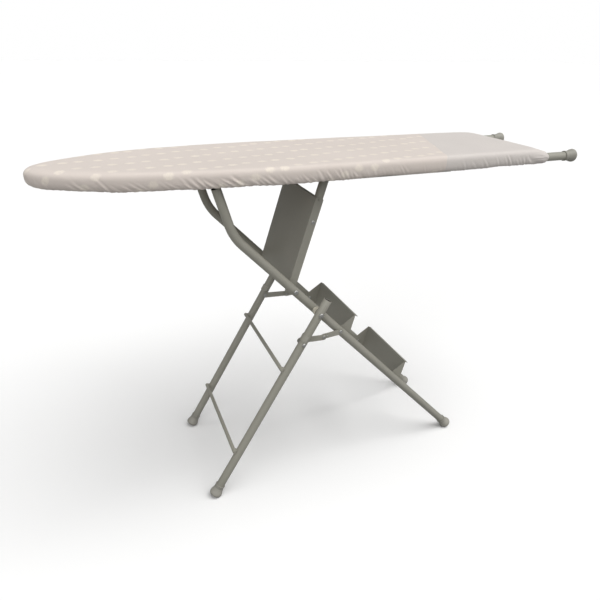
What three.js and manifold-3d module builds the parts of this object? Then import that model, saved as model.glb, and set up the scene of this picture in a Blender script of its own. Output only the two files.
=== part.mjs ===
// Ladder ironing board: a padded board on a folding three-step ladder frame, set up for ironing.
// Millimetres, +Z up, +X towards the tail of the board, Y across it, floor at Z = 0.
import * as THREE from "three";
import { mergeVertices } from "three/addons/utils/BufferGeometryUtils.js";
import Module from "manifold-3d";
const wasm = await Module();
wasm.setup();

// ---- driving dimensions ----------------------------------------------------
const CENTRE_X = 354.5; // middle of the overall length, from the leg foot
const TUBE_R = 11, TUBE_WALL = 1.3, CLEAR = 0.3;
const LEG_Y = 162, LADDER_Y = 127, STRUT_Y = 97.5, FRAME_Y = 145; // tube centre distances from the middle plane
const LEG_ANGLE = 59.65, LADDER_ANGLE = 46.2, UPPER_ANGLE = 73.3, STRUT_ANGLE = 72.53;
const LEG_FOOT = [0, 14], LADDER_FOOT = [763.5, 16]; // a point on each tube's line near the floor
const LEG_TOP_S = 616.1; // open top of the leg tube, along the leg
const LADDER_BEND_T = 981.8, BEND_R = 130; // where the ladder tube turns steeper
const HINGE_A = [51.8, 832]; // board hinge
const PIVOT_P_T = 683.9; // leg pivot, along the ladder tube
const PIVOT_B_T = 763.5; // platform pivot, along the ladder tube
const STRUT_L = 286.1; // platform pivot to the top rod
const BRACE_PQ = 89, BRACE_PR = 105, BRACE_A = 67, BRACE_B = 51; // knee brace
const TREADS = [["tread_upper", 528.0], ["tread_lower", 269.8]];
const TREAD_DEPTH = 68, TREAD_ANGLE = 74.6, TREAD_HALF = 115.7, SHEET = 1.5;
const PLATFORM_S0 = 6.5, PLATFORM_LEN = 229, PLATFORM_HALF = 110.2, FLANGE = 21;
const BAR_R = 5, BAR_OFFSET = 16.3, BARS = [["leg_crossbar_upper", 399.6], ["leg_crossbar_lower", 134.8]];
const FRAME_Z = 860, TAIL_CAP_X = 1003;
const PANEL_Z = [871.5, 876.5], PANEL_IN = 12, HEM_Z = 846;
const ROD_R = 4.5, TRACK_Y = [110.8, 115.5];
const TRACK_X = [300, 665];
// half width of the board along its length
const OUTLINE = [
  [-330, 0], [-328.7, 10], [-324.5, 22], [-316, 35], [-303, 49], [-284, 64], [-260, 79], [-231, 94.5], [-196, 110.5],
  [-152, 126], [-100, 139], [-45, 149.5], [15, 158], [75, 163.8], [140, 167.5], [220, 169.8], [330, 170.5], [450, 169.8], [580, 167.5],
  [700, 165.2], [800, 163.4], [868, 162.3], [890, 159.5], [905, 153], [915, 143], [920, 130], [922, 112], [923, 50], [923, 0],
];
// section of the cover from the top down: inset from the outline and height, outside and inside
const SECTION_OUT = [[14, 884.5], [9.5, 883.8], [6, 882.2], [3.4, 879.6], [1.5, 876], [0.4, 871.5], [0, 866.5], [0.1, 861], [0.8, 856], [2.4, 851.5], [5, 848], [8.3, 846]];
const SECTION_IN = [[14.5, 883], [10, 882.3], [6.9, 880.9], [4.6, 878.6], [2.9, 875.3], [1.9, 871.2], [1.5, 866.5], [1.6, 861], [2.3, 856.4], [3.9, 852.3], [6.3, 849.3], [9, 847.6]];

// ---- helpers ---------------------------------------------------------------
const rad = (d) => (d * Math.PI) / 180;
const dirXZ = (d) => [Math.cos(rad(d)), Math.sin(rad(d))];
const V = (x, y, z) => new THREE.Vector3(x, y, z);

function raw(pos, idx) {
  const make = (ix) =>
    new wasm.Manifold(new wasm.Mesh({ numProp: 3, vertProperties: new Float32Array(pos), triVerts: new Uint32Array(ix) }));
  const m = make(idx);
  if (m.volume() > 0) return m;
  const flipped = [];
  for (let i = 0; i < idx.length; i += 3) flipped.push(idx[i], idx[i + 2], idx[i + 1]);
  return make(flipped);
}
function fromGeometry(g) {
  const c = g.clone();
  c.deleteAttribute("normal");
  c.deleteAttribute("uv");
  const m = mergeVertices(c, 1e-4);
  return raw(Array.from(m.attributes.position.array), Array.from(m.index.array));
}
// round tube or rod along a plane path; N is the plane's normal
function sweep(pts, N, r, n = 16) {
  const pos = [], idx = [], m = pts.length;
  for (let i = 0; i < m; i++) {
    const t0 = i > 0 ? pts[i].clone().sub(pts[i - 1]).normalize() : null;
    const t1 = i < m - 1 ? pts[i + 1].clone().sub(pts[i]).normalize() : null;
    const T = t0 && t1 ? t0.clone().add(t1).normalize() : t0 || t1;
    const k = t0 && t1 ? 1 / Math.max(0.5, T.dot(t1)) : 1;
    const B = V(0, 0, 0).crossVectors(T, N).normalize();
    for (let j = 0; j < n; j++) {
      const f = (2 * Math.PI * (j + 0.5)) / n;
      const p = pts[i].clone().addScaledVector(N, r * Math.cos(f)).addScaledVector(B, r * k * Math.sin(f));
      pos.push(p.x, p.y, p.z);
    }
  }
  for (let i = 0; i < m - 1; i++)
    for (let j = 0; j < n; j++) {
      const a = i * n + j, b = i * n + ((j + 1) % n), c = a + n, d = b + n;
      idx.push(a, c, b, b, c, d);
    }
  const c0 = pos.length / 3;
  pos.push(pts[0].x, pts[0].y, pts[0].z, pts[m - 1].x, pts[m - 1].y, pts[m - 1].z);
  for (let j = 0; j < n; j++) {
    idx.push(c0, j, (j + 1) % n);
    idx.push(c0 + 1, (m - 1) * n + ((j + 1) % n), (m - 1) * n + j);
  }
  return raw(pos, idx);
}
function pipe(pts, N, r, wall, n = 16) {
  const o = sweep(pts, N, r, n), a = pts.map((p) => p.clone()), m = a.length;
  a[0].add(a[0].clone().sub(a[1]).normalize().multiplyScalar(2));
  a[m - 1].add(a[m - 1].clone().sub(a[m - 2]).normalize().multiplyScalar(2));
  return o.subtract(sweep(a, N, r - wall, 10));
}
// solid of revolution: profile of [radius, distance] from an axis point to an axis point, or a closed loop off the axis
function revolve(profile, origin, dir, n = 14) {
  const d = dir.clone().normalize();
  const u = Math.abs(d.y) > 0.9 ? V(1, 0, 0) : V(0, 1, 0);
  const w = V(0, 0, 0).crossVectors(d, u).normalize(), e = V(0, 0, 0).crossVectors(w, d).normalize();
  const pos = [], idx = [], rows = [];
  for (const [r, s] of profile) {
    const row = [];
    const put = (f, rr) => {
      const p = origin.clone().addScaledVector(d, s).addScaledVector(e, rr * Math.cos(f)).addScaledVector(w, rr * Math.sin(f));
      pos.push(p.x, p.y, p.z);
      row.push(pos.length / 3 - 1);
    };
    if (r < 1e-6) put(0, 0);
    else for (let j = 0; j < n; j++) put((2 * Math.PI * (j + 0.5)) / n, r);
    rows.push(row);
  }
  const closed = profile[0][0] > 1e-6, last = closed ? rows.length : rows.length - 1;
  for (let i = 0; i < last; i++) {
    const a = rows[i], b = rows[(i + 1) % rows.length];
    for (let j = 0; j < n; j++) {
      const k = (j + 1) % n;
      if (a.length === 1 && b.length === 1) continue;
      if (a.length === 1) idx.push(a[0], b[j], b[k]);
      else if (b.length === 1) idx.push(a[j], b[0], a[k]);
      else idx.push(a[j], b[j], a[k], a[k], b[j], b[k]);
    }
  }
  return raw(pos, idx);
}
// revolve about a cross axis at (x, z); s counts outwards from the middle plane on side sg
const turned = (profile, x, z, sg, n = 14) => revolve(profile, V(x, 0, z), V(0, sg, 0), n);
function prismZ(pts, z0, z1) {
  const g = new THREE.ExtrudeGeometry(new THREE.Shape(pts.map((p) => new THREE.Vector2(p[0], p[1]))), { depth: z1 - z0, bevelEnabled: false });
  g.translate(0, 0, z0);
  return fromGeometry(g);
}
function prismY(pts, y0, y1) {
  const g = new THREE.ExtrudeGeometry(new THREE.Shape(pts.map((p) => new THREE.Vector2(p[0], p[1]))), { depth: Math.abs(y1 - y0), bevelEnabled: false });
  g.rotateX(Math.PI / 2); // profile height to +Z, depth to -Y
  g.translate(0, Math.max(y0, y1), 0);
  return fromGeometry(g);
}
const box = (x0, x1, y0, y1, z0, z1) => {
  const g = new THREE.BoxGeometry(x1 - x0, y1 - y0, z1 - z0);
  g.translate((x0 + x1) / 2, (y0 + y1) / 2, (z0 + z1) / 2);
  return fromGeometry(g);
};
const cylY = (x, z, r, y0, y1, n = 20) => {
  const g = new THREE.CylinderGeometry(r, r, Math.abs(y1 - y0), n);
  g.translate(x, (y0 + y1) / 2, z);
  return fromGeometry(g);
};
// bent sheet: a line of points thickened to its left
function sheet(pts, t) {
  const off = pts.map((p, i) => {
    const nrm = (a, b) => { const l = Math.hypot(b[0] - a[0], b[1] - a[1]); return [-(b[1] - a[1]) / l, (b[0] - a[0]) / l]; };
    const n0 = i > 0 ? nrm(pts[i - 1], p) : null, n1 = i < pts.length - 1 ? nrm(p, pts[i + 1]) : null;
    if (!n0 || !n1) { const k = n0 || n1; return [p[0] + k[0] * t, p[1] + k[1] * t]; }
    const m = [n0[0] + n1[0], n0[1] + n1[1]], l = Math.hypot(...m), c = (m[0] * n1[0] + m[1] * n1[1]) / l;
    return [p[0] + (m[0] / l) * (t / c), p[1] + (m[1] / l) * (t / c)];
  });
  return [...pts, ...off.reverse()];
}
const outline = [...OUTLINE, ...OUTLINE.slice(1, -1).map(([x, y]) => [x, -y]).reverse()]
  .map(([x, y]) => [x, -y]); // counter-clockwise seen from above
const smooth = (v) => { const c = Math.min(1, Math.max(0, v)); return c * c * (3 - 2 * c); };
const nose = (x) => 1 - smooth((x + 330) / 260), tail = (x) => smooth((x - 840) / 60);
// the edge is rounder at the nose, above most of all, and a little rounder at the tail
const spread = (x, z) => 1 + (z < 866.4 ? 0.45 : 1.35) * nose(x) + 0.35 * tail(x);
const drop = (x, z) => 2.5 * nose(x) * Math.max(0, (866.5 - z) / 20.5);
function inset(poly, d) {
  const n = poly.length;
  return poly.map((p, i) => {
    const a = poly[(i + n - 1) % n], b = poly[(i + 1) % n];
    const nr = (q, r) => { const l = Math.hypot(r[0] - q[0], r[1] - q[1]); return [-(r[1] - q[1]) / l, (r[0] - q[0]) / l]; };
    const n0 = nr(a, p), n1 = nr(p, b), m = [n0[0] + n1[0], n0[1] + n1[1]], l = Math.hypot(...m), c = (m[0] * n1[0] + m[1] * n1[1]) / l;
    const e = typeof d === "function" ? d(p[0]) : d;
    return [p[0] + (m[0] / l) * (e / c), p[1] + (m[1] / l) * (e / c)];
  });
}
// stack of the board's outline at [inset that follows the rounding, height, plain inset] levels
function loft(levels) {
  const rings = levels.map(([d, z, c = 0]) => inset(outline, (x) => d * spread(x, z) + c).map(([x, y], i) => [x, y, z - drop(outline[i][0], z)]));
  const n = outline.length, pos = rings.flat(2), idx = [];
  for (let i = 0; i < rings.length - 1; i++)
    for (let j = 0; j < n; j++) {
      const a = i * n + j, b = i * n + ((j + 1) % n);
      idx.push(a, b, a + n, b, b + n, a + n);
    }
  const cap = (ring, base, up) =>
    THREE.ShapeUtils.triangulateShape(ring.map(([x, y]) => new THREE.Vector2(x, y)), []).forEach(([a, b, c]) =>
      up ? idx.push(base + a, base + b, base + c) : idx.push(base + a, base + c, base + b));
  cap(rings[0], 0, false);
  cap(rings[rings.length - 1], (rings.length - 1) * n, true);
  return raw(pos, idx);
}

const group = new THREE.Group();
const COLOURS = { steel: 0xb3aea2, feet: 0xa09c94, shiny: 0xc9c9c6, nylon: 0xd8d4c8, cover: 0xded5ce, foam: 0xe6dfc8, wood: 0xb89a6c, elastic: 0xcfcac2 };
function add(name, solid, colour) {
  const m = solid.getMesh(), v = new Float32Array(m.numVert * 3);
  for (let i = 0; i < m.numVert; i++) for (let k = 0; k < 3; k++) v[3 * i + k] = m.vertProperties[m.numProp * i + k] - (k === 0 ? CENTRE_X : 0);
  const g = new THREE.BufferGeometry();
  g.setAttribute("position", new THREE.BufferAttribute(v, 3));
  g.setIndex(new THREE.BufferAttribute(new Uint32Array(m.triVerts), 1));
  g.computeVertexNormals();
  const mesh = new THREE.Mesh(g, new THREE.MeshStandardMaterial({ color: COLOURS[colour], roughness: 0.6, metalness: colour === "shiny" ? 1 : 0.2 }));
  mesh.name = name;
  group.add(mesh);
}

// ---- layout ----------------------------------------------------------------
const cL = dirXZ(LEG_ANGLE), cA = dirXZ(LADDER_ANGLE), cS = dirXZ(STRUT_ANGLE), cU = dirXZ(UPPER_ANGLE), cT = dirXZ(TREAD_ANGLE);
const legAt = (s, o = 0) => [LEG_FOOT[0] + s * cL[0] - o * cL[1], LEG_FOOT[1] + s * cL[1] + o * cL[0]]; // o: offset to the upper left
const ladAt = (t, o = 0) => [LADDER_FOOT[0] - t * cA[0] + o * cA[1], LADDER_FOOT[1] + t * cA[1] + o * cA[0]]; // o: offset to the upper right
const P = ladAt(PIVOT_P_T), B = ladAt(PIVOT_B_T);
const strutAt = (s, o = 0) => [B[0] + s * cS[0] - o * cS[1], B[1] + s * cS[1] + o * cS[0]]; // o: offset to the upper left
const T = strutAt(STRUT_L);
const Q = [P[0] - BRACE_PQ * cL[0], P[1] - BRACE_PQ * cL[1]], R = [P[0] + BRACE_PR * cA[0], P[1] - BRACE_PR * cA[1]];
const M = (() => { // knee of the brace, on the side away from P
  const dx = R[0] - Q[0], dz = R[1] - Q[1], c = Math.hypot(dx, dz), x = (BRACE_A ** 2 - BRACE_B ** 2 + c * c) / (2 * c), y = Math.sqrt(BRACE_A ** 2 - x * x);
  return [Q[0] + (dx / c) * x + (dz / c) * y, Q[1] + (dz / c) * x - (dx / c) * y];
})();
const SIDES = [["near", -1], ["far", 1]];

// foot cap: a sleeve that flares to a domed end, bored for the tube
const CAP = [[13.2, 0], [13.2, 4], [12.7, 5], [12.7, 10], [13.6, 15], [16.4, 24], [16.8, 29], [15.6, 32.6], [12.2, 34.8], [0, 36]];
const CAP_BORE = 18;
const capSolid = (origin, dir) => revolve([[0, CAP_BORE], [TUBE_R + CLEAR, CAP_BORE], [TUBE_R + CLEAR, 0], ...CAP], origin, dir, 18);
const capStart = (sin, cos) => Math.max(...CAP.map(([r, s]) => s * sin + r * cos)) - 1.1; // height of the cap's mouth that leaves a small contact flat
const floorCut = box(-400, 1200, -300, 300, -60, 0);

// ---- ladder frame ----------------------------------------------------------
const ladCapT = (capStart(cA[1], cA[0]) - LADDER_FOOT[1]) / cA[1];
const bend = (() => {
  const turn = rad(UPPER_ANGLE - LADDER_ANGLE), cut = BEND_R * Math.tan(turn / 2), corner = ladAt(LADDER_BEND_T), pts = [];
  const s = ladAt(LADDER_BEND_T - cut); // bend centre lies on the upper right
  const c = [s[0] + BEND_R * cA[1], s[1] + BEND_R * cA[0]];
  for (let i = 0; i <= 4; i++) {
    const f = rad(180 + (90 - LADDER_ANGLE)) - (turn * i) / 4; // polar angle of the bend point about its centre
    pts.push([c[0] + BEND_R * Math.cos(f), c[1] + BEND_R * Math.sin(f)]);
  }
  return pts;
})();
const upEnd = [HINGE_A[0] - 8.6 * cU[0], HINGE_A[1] + 8.6 * cU[1]];
for (const [side, sg] of SIDES) {
  const y = sg * LADDER_Y;
  const path = [ladAt(ladCapT - (CAP_BORE - CLEAR)), ...bend, upEnd].map(([x, z]) => V(x, y, z));
  let tube = pipe(path, V(0, 1, 0), TUBE_R, TUBE_WALL, 16);
  const bore = (p, r, a, b) => { tube = tube.subtract(cylY(p[0], p[1], r, sg * a, sg * b, 16)); };
  bore(HINGE_A, 4.3, 100, 130);
  bore(P, 4.3, 100, 150);
  bore(B, 4.3, 100, 150);
  bore(R, 3.3, 127, 150);
  for (const [, t] of TREADS) bore(ladAt(t + 27), 2.9, 110, 124);
  add("ladder_tube_" + side, tube, "steel");
  const o = ladAt(ladCapT);
  add("ladder_foot_" + side, capSolid(V(o[0], y, o[1]), V(cA[0], 0, -cA[1])).subtract(floorCut), "feet");
}
for (const [name, t] of TREADS) {
  const base = ladAt(t, -6), b0 = ladAt(t, 0), D = [b0[0] + TREAD_DEPTH * cT[0], b0[1] + TREAD_DEPTH * cT[1]];
  const start = [D[0] - (TREAD_DEPTH + 7) * cT[0], D[1] - (TREAD_DEPTH + 7) * cT[1]];
  const down = [cT[1] * 0.95, -cT[0] * 0.95]; // edges turn down to the lower right
  const lipA = [start[0] + 9 * down[0], start[1] + 9 * down[1]], lipB = [D[0] + 9.5 * Math.cos(rad(-29)), D[1] + 9.5 * Math.sin(rad(-29))];
  // the sheet thickens to the left of the travel direction, which is its upper-left face
  let tread = prismY(sheet([lipA, start, D, lipB], -SHEET), -TREAD_HALF, TREAD_HALF);
  const F = ladAt(t + 45.4, 0), Fb = ladAt(t + 47, -7), E = [start[0], start[1]];
  for (const sg of [-1, 1]) tread = tread.add(prismY([E, [D[0] - 0.05 * cT[0], D[1] - 0.05 * cT[1]], F, Fb], sg * TREAD_HALF, sg * (TREAD_HALF - SHEET)));
  const r = ladAt(t + 27);
  tread = tread.subtract(cylY(r[0], r[1], 2.9, -130, 130, 14));
  add(name, tread, "steel");
  for (const [side, sg] of SIDES)
    add(name + "_rivet_" + side, turned([[0, 122], [2.5, 122], [2.5, TREAD_HALF - SHEET - CLEAR], [4.9, TREAD_HALF - SHEET - CLEAR], [4.4, 112.9], [2.4, 112], [0, 111.8]], r[0], r[1], sg, 12), "shiny");
}
for (const [side, sg] of SIDES) {
  // leg pivot: bolt through the leg, spacer and ladder tubes
  add("leg_pivot_bolt_" + side, turned([[0, 111.6], [6.4, 111.6], [6.4, 115.6], [4, 115.6], [4, 173.3], [6.5, 173.3], [6, 175.2], [4, 176.4], [0, 176.8]], P[0], P[1], sg), "shiny");
  add("leg_pivot_spacer_" + side, turned([[4.3, 138.4], [10.2, 138.4], [10.6, 140], [10.6, 149], [10.2, 150.6], [4.3, 150.6]], P[0], P[1], sg), "nylon");
  // platform pivot
  add("platform_pivot_bolt_" + side, turned([[0, 82], [6.2, 82], [6.2, 86.1], [4, 86.1], [4, 138.4], [6.4, 138.4], [5.9, 140], [3.8, 141.2], [0, 141.5]], B[0], B[1], sg), "shiny");
  add("platform_pivot_washer_" + side, turned([[4.3, 110.6], [9.5, 110.6], [9.5, 115.6], [4.3, 115.6]], B[0], B[1], sg), "nylon");
  // brace pivot on the ladder tube
  add("brace_upper_pin_" + side, turned([[0, 129], [3, 129], [3, 141.5], [4.9, 141.5], [4.4, 142.5], [2.5, 143.2], [0, 143.3]], R[0], R[1], sg, 12), "shiny");
}

// ---- knee braces -----------------------------------------------------------
function link(p, q, w0, w1, y0, y1, holes) {
  const a = Math.atan2(q[1] - p[1], q[0] - p[0]), pts = [];
  for (let i = 0; i <= 8; i++) { const f = a + Math.PI / 2 + (Math.PI * i) / 8; pts.push([p[0] + w0 * Math.cos(f), p[1] + w0 * Math.sin(f)]); }
  for (let i = 0; i <= 8; i++) { const f = a - Math.PI / 2 + (Math.PI * i) / 8; pts.push([q[0] + w1 * Math.cos(f), q[1] + w1 * Math.sin(f)]); }
  let s = prismY(pts, Math.min(y0, y1), Math.max(y0, y1));
  for (const [x, z, r] of holes) s = s.subtract(cylY(x, z, r, y0 - 2 * Math.sign(y1 - y0), y1 + 2 * Math.sign(y1 - y0), 16));
  return s;
}
// the knee is the linkage's open pivot: its rivet stops short of the lower link, whose own head lines up with it
for (const [side, sg] of SIDES) {
  add("brace_upper_" + side, link(R, M, 8.2, 7.4, sg * 139.3, sg * 141.3, [[...R, 3.3], [...M, 3.3]]), "steel");
  add("brace_lower_" + side, link(Q, M, 8.2, 7.8, sg * 144, sg * 146, [[...Q, 3.8]]).add(turned([[0, 145], [5, 145], [5, 146.4], [4.4, 147.5], [2.4, 148.2], [0, 148.3]], M[0], M[1], sg, 12)), "steel");
  add("brace_knee_rivet_" + side, turned([[0, 139.4], [3, 139.4], [3, 141.7], [5.2, 141.7], [5.2, 143.6], [0, 143.6]], M[0], M[1], sg, 12), "shiny");
}

// ---- leg frame -------------------------------------------------------------
const legCapS = (capStart(cL[1], cL[0]) - LEG_FOOT[1]) / cL[1];
for (const [side, sg] of SIDES) {
  const y = sg * LEG_Y;
  const path = [legAt(legCapS - (CAP_BORE - CLEAR)), legAt(LEG_TOP_S)].map(([x, z]) => V(x, y, z));
  let tube = pipe(path, V(0, 1, 0), TUBE_R, TUBE_WALL, 16);
  tube = tube.subtract(cylY(P[0], P[1], 4.3, sg * 140, sg * 180, 16)).subtract(cylY(Q[0], Q[1], 3.8, sg * 140, sg * 180, 16));
  add("leg_tube_" + side, tube, "steel");
  const o = legAt(legCapS);
  add("leg_foot_" + side, capSolid(V(o[0], y, o[1]), V(-cL[0], 0, -cL[1])).subtract(floorCut), "feet");
  // brace pin through the leg tube, with its shoulder against the link
  add("brace_lower_pin_" + side, turned([[0, 142.4], [5.4, 142.5], [5.4, 143.7], [3.5, 143.7], [3.5, 146.3], [6.4, 146.3], [6.4, 150.7], [3.5, 150.7], [3.5, 173.3], [5.2, 173.3], [4.7, 174.8], [2.8, 175.7], [0, 175.9]], Q[0], Q[1], sg, 12), "shiny");
  // half-round clip round the upper-left of the leg tube at the brace pin
  const dir = V(cL[0], 0, cL[1]), c0 = V(Q[0], y, Q[1]).addScaledVector(dir, 8);
  let clip = revolve([[TUBE_R + CLEAR, 0], [TUBE_R + 1.9, 0], [TUBE_R + 1.9, 17], [TUBE_R + CLEAR, 17]], c0, dir, 24);
  const half = box(0, 40, -20, 20, -40, 40).rotate([0, LEG_ANGLE * -1 + 90, 0]).translate([c0.x, y, c0.z]);
  clip = clip.subtract(half);
  add("brace_clip_" + side, clip, "steel");
}
for (const [name, s] of BARS) {
  const c = legAt(s, BAR_OFFSET), e = LEG_Y + 5;
  add(name, sweep([V(c[0], -e, c[1]), V(c[0], e, c[1])], V(1, 0, 0), BAR_R, 14), "steel");
}

// ---- platform and strut ----------------------------------------------------
const S1 = PLATFORM_S0 + PLATFORM_LEN, OFF = TUBE_R + CLEAR; // sheet lies on the upper-left side of the strut tubes
const hole = (s) => strutAt(s);
for (const [side, sg] of SIDES) {
  let tube = pipe([strutAt(-14), strutAt(STRUT_L + 12)].map(([x, z]) => V(x, sg * STRUT_Y, z)), V(0, 1, 0), TUBE_R, TUBE_WALL, 16);
  tube = tube.subtract(cylY(B[0], B[1], 4.3, sg * 80, sg * 115, 16)).subtract(cylY(T[0], T[1], ROD_R + CLEAR, sg * 80, sg * 115, 16)).subtract(cylY(...hole(175), 2.8, sg * 100, sg * 115, 14));
  add("strut_tube_" + side, tube, "steel");
  add("platform_rivet_" + side, turned([[0, 104], [2.4, 104], [2.4, 110.5], [4.8, 110.5], [4.2, 111.5], [2.2, 112.1], [0, 112.2]], ...hole(175), sg, 12), "shiny");
}
{
  const in1 = PLATFORM_HALF - SHEET;
  const q = [strutAt(PLATFORM_S0, OFF), strutAt(S1, OFF), strutAt(S1, OFF + SHEET), strutAt(PLATFORM_S0, OFF + SHEET)];
  let p = prismY(q, -PLATFORM_HALF, PLATFORM_HALF);
  const low = OFF + SHEET - FLANGE;
  for (const sg of [-1, 1]) {
    let fl = prismY([strutAt(PLATFORM_S0, OFF + SHEET * 0.9), strutAt(S1, OFF + SHEET * 0.9), strutAt(S1, low + 2), strutAt(S1 - 3, low), strutAt(PLATFORM_S0 + 10, low), strutAt(PLATFORM_S0 + 2, low + 7)], sg * in1, sg * PLATFORM_HALF);
    fl = fl.subtract(cylY(...hole(175), 2.8, sg * 100, sg * 120, 14)).subtract(cylY(...strutAt(S1 - 5, 4.5), 2.4, sg * 100, sg * 120, 12));
    p = p.add(fl);
  }
  for (const [a, b] of [[S1 - SHEET, S1], [PLATFORM_S0, PLATFORM_S0 + SHEET]])
    p = p.add(prismY([strutAt(a, OFF - 9), strutAt(b, OFF - 9), strutAt(b, OFF + SHEET * 0.9), strutAt(a, OFF + SHEET * 0.9)], -(STRUT_Y - TUBE_R - 1.5), STRUT_Y - TUBE_R - 1.5));
  add("platform", p, "steel");
  add("strut_top_rod", sweep([V(T[0], -113.4, T[1]), V(T[0], 113.4, T[1])], V(1, 0, 0), ROD_R, 14), "steel");
}

// ---- board -----------------------------------------------------------------
{
  const k = inset(outline, 15.6).filter(([x]) => x < 880).map(([x, y]) => [x, Math.max(-FRAME_Y, Math.min(FRAME_Y, y))]);
  // order the path from the far tail round the nose to the near tail
  const far = k.filter(([, y]) => y > 0.01 && true).sort((a, b) => b[0] - a[0]), near = k.filter(([, y]) => y < -0.01).sort((a, b) => a[0] - b[0]);
  const tip = k.filter(([, y]) => Math.abs(y) <= 0.01);
  const end = TAIL_CAP_X + CAP_BORE - CLEAR;
  const thin = (list) => list.filter(([x]) => x < 90);
  const path = [[end, FRAME_Y], ...thin(far), ...tip, ...thin(near), [end, -FRAME_Y]].map(([x, y]) => V(x, y, FRAME_Z));
  add("board_frame_tube", pipe(path, V(0, 0, 1), TUBE_R, TUBE_WALL, 16), "steel");
}
for (const [side, sg] of SIDES)
  add("tail_foot_" + side, capSolid(V(TAIL_CAP_X, sg * FRAME_Y, FRAME_Z), V(1, 0, 0)), "feet");
for (const [name, x, h] of [["cross_rail_nose", -150, 92], ["cross_rail_middle", 185, 133.6], ["cross_rail_tail", 705, 133.6]])
  add(name, box(x - 9, x + 9, -h, h, 859.2, 871.2).subtract(box(x - 7.5, x + 7.5, -h - 2, h + 2, 860.7, 869.7)), "steel");
for (const [side, sg] of SIDES) {
  // one ear inside the ladder tube; the pin ends in the bore of the tube
  const y0 = LADDER_Y - TUBE_R - 4, y1 = LADDER_Y + TUBE_R + 1, ax = HINGE_A[0], az = HINGE_A[1];
  const ear = [[ax - 7.8, az - 4], [ax - 4.2, az - 8], [ax + 4.2, az - 8], [ax + 7.8, az - 4], [ax + 15, 847.5], [ax - 15, 847.5]];
  let br = box(ax - 15, ax + 15, Math.min(sg * y0, sg * y1), Math.max(sg * y0, sg * y1), 846.9, 848.6);
  br = br.add(prismY(ear, sg * y0, sg * (y0 + 2.2))).subtract(cylY(ax, az, 4.3, sg * 100, sg * 150, 16));
  add("hinge_bracket_" + side, br, "steel");
  add("hinge_pin_" + side, turned([[0, y0 - 3], [6, y0 - 2.7], [6, y0 - 0.3], [4, y0 - 0.3], [4, 135], [3.4, 135.4], [0, 135.4]], ax, az, sg, 12), "shiny");
  const [w0, w1] = TRACK_Y;
  const ch = [[w0, 833.6], [w1, 833.6], [w1, 871.2], [w1 - 1.5, 871.2], [w1 - 1.5, 860], [w0, 860], [w0, 858.2], [w1 - 1.5, 858.2], [w1 - 1.5, 834.9], [w0, 834.9]];
  const g = new THREE.ExtrudeGeometry(new THREE.Shape(ch.map(([y, z]) => new THREE.Vector2(y, z))), { depth: TRACK_X[1] - TRACK_X[0], bevelEnabled: false });
  // profile (across, height), depth along the board
  const a = (g.index ? g.toNonIndexed() : g).attributes.position.array, pos = [], idx = [];
  for (let i = 0; i < a.length; i += 3) { pos.push(a[i + 2] + TRACK_X[0], sg * a[i], a[i + 1]); idx.push(i / 3); }
  const tmp = new THREE.BufferGeometry();
  tmp.setAttribute("position", new THREE.BufferAttribute(new Float32Array(pos), 3));
  tmp.setIndex(idx);
  const mg = mergeVertices(tmp, 1e-4);
  add("slide_track_" + side, raw(Array.from(mg.attributes.position.array), Array.from(mg.index.array)), "steel");
}
add("board_panel", loft([[0, PANEL_Z[0], PANEL_IN], [0, PANEL_Z[1], PANEL_IN]]), "wood");
add("foam_pad", loft([[5, 876.8, 1.5], [5.2, 878.2, 1.8], [7.6, 880.4, 2.2], [9.6, 881.6, 3], [12, 882.4, 4]]), "foam");
{
  const up = (section) => [...section].reverse();
  let c = loft(up(SECTION_OUT)).subtract(loft(up(SECTION_IN))).subtract(loft([[8.3, HEM_Z - 6, 5], [8.3, HEM_Z + 3, 5]]));
  for (const sg of [-1, 1]) c = c.subtract(box(870, 935, Math.min(sg * 132.5, sg * 158.2), Math.max(sg * 132.5, sg * 158.2), HEM_Z - 5, 872.6));
  add("cover", c, "cover");
  const ring = inset(outline, (x) => 8.3 * spread(x, HEM_Z) + 6.8).map(([x, y], i) => [x, y, HEM_Z + 1.4 - drop(outline[i][0], HEM_Z)]);
  const far = ring.filter(([, y]) => y > 0.01).sort((a, b) => b[0] - a[0]), near = ring.filter(([, y]) => y < -0.01).sort((a, b) => a[0] - b[0]), tip = ring.filter(([, y]) => Math.abs(y) <= 0.01 && true);
  add("hem_elastic", sweep([...far, ...tip, ...near].filter(([x]) => x < 866).map(([x, y, z]) => V(x, y, z)), V(0, 0, 1), 1.2, 6), "elastic");
}

export default group;
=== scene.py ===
import math

import bmesh
import bpy
import numpy as np
from mathutils import Matrix, Vector


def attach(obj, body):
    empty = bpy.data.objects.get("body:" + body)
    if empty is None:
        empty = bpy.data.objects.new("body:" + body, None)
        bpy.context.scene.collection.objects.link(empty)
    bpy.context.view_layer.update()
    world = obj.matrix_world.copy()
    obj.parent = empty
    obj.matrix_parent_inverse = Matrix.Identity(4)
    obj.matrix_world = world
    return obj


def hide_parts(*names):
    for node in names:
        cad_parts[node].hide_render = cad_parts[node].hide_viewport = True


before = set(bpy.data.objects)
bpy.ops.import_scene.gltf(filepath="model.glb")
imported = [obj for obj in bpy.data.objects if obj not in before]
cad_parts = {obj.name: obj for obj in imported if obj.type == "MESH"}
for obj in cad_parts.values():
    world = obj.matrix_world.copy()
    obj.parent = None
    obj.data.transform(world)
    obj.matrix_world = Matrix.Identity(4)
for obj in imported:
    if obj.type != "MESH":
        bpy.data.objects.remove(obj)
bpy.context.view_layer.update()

# ---- layout, in millimetres from the leg foot: the same driving dimensions as the CAD ----
CENTRE_X = 354.5
TUBE_R, TUBE_WALL = 11.0, 1.3
LEG_Y, LADDER_Y, STRUT_Y, FRAME_Y = 162.0, 127.0, 97.5, 145.0
LEG_ANGLE, LADDER_ANGLE, UPPER_ANGLE, STRUT_ANGLE = 59.65, 46.2, 73.3, 72.53
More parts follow.
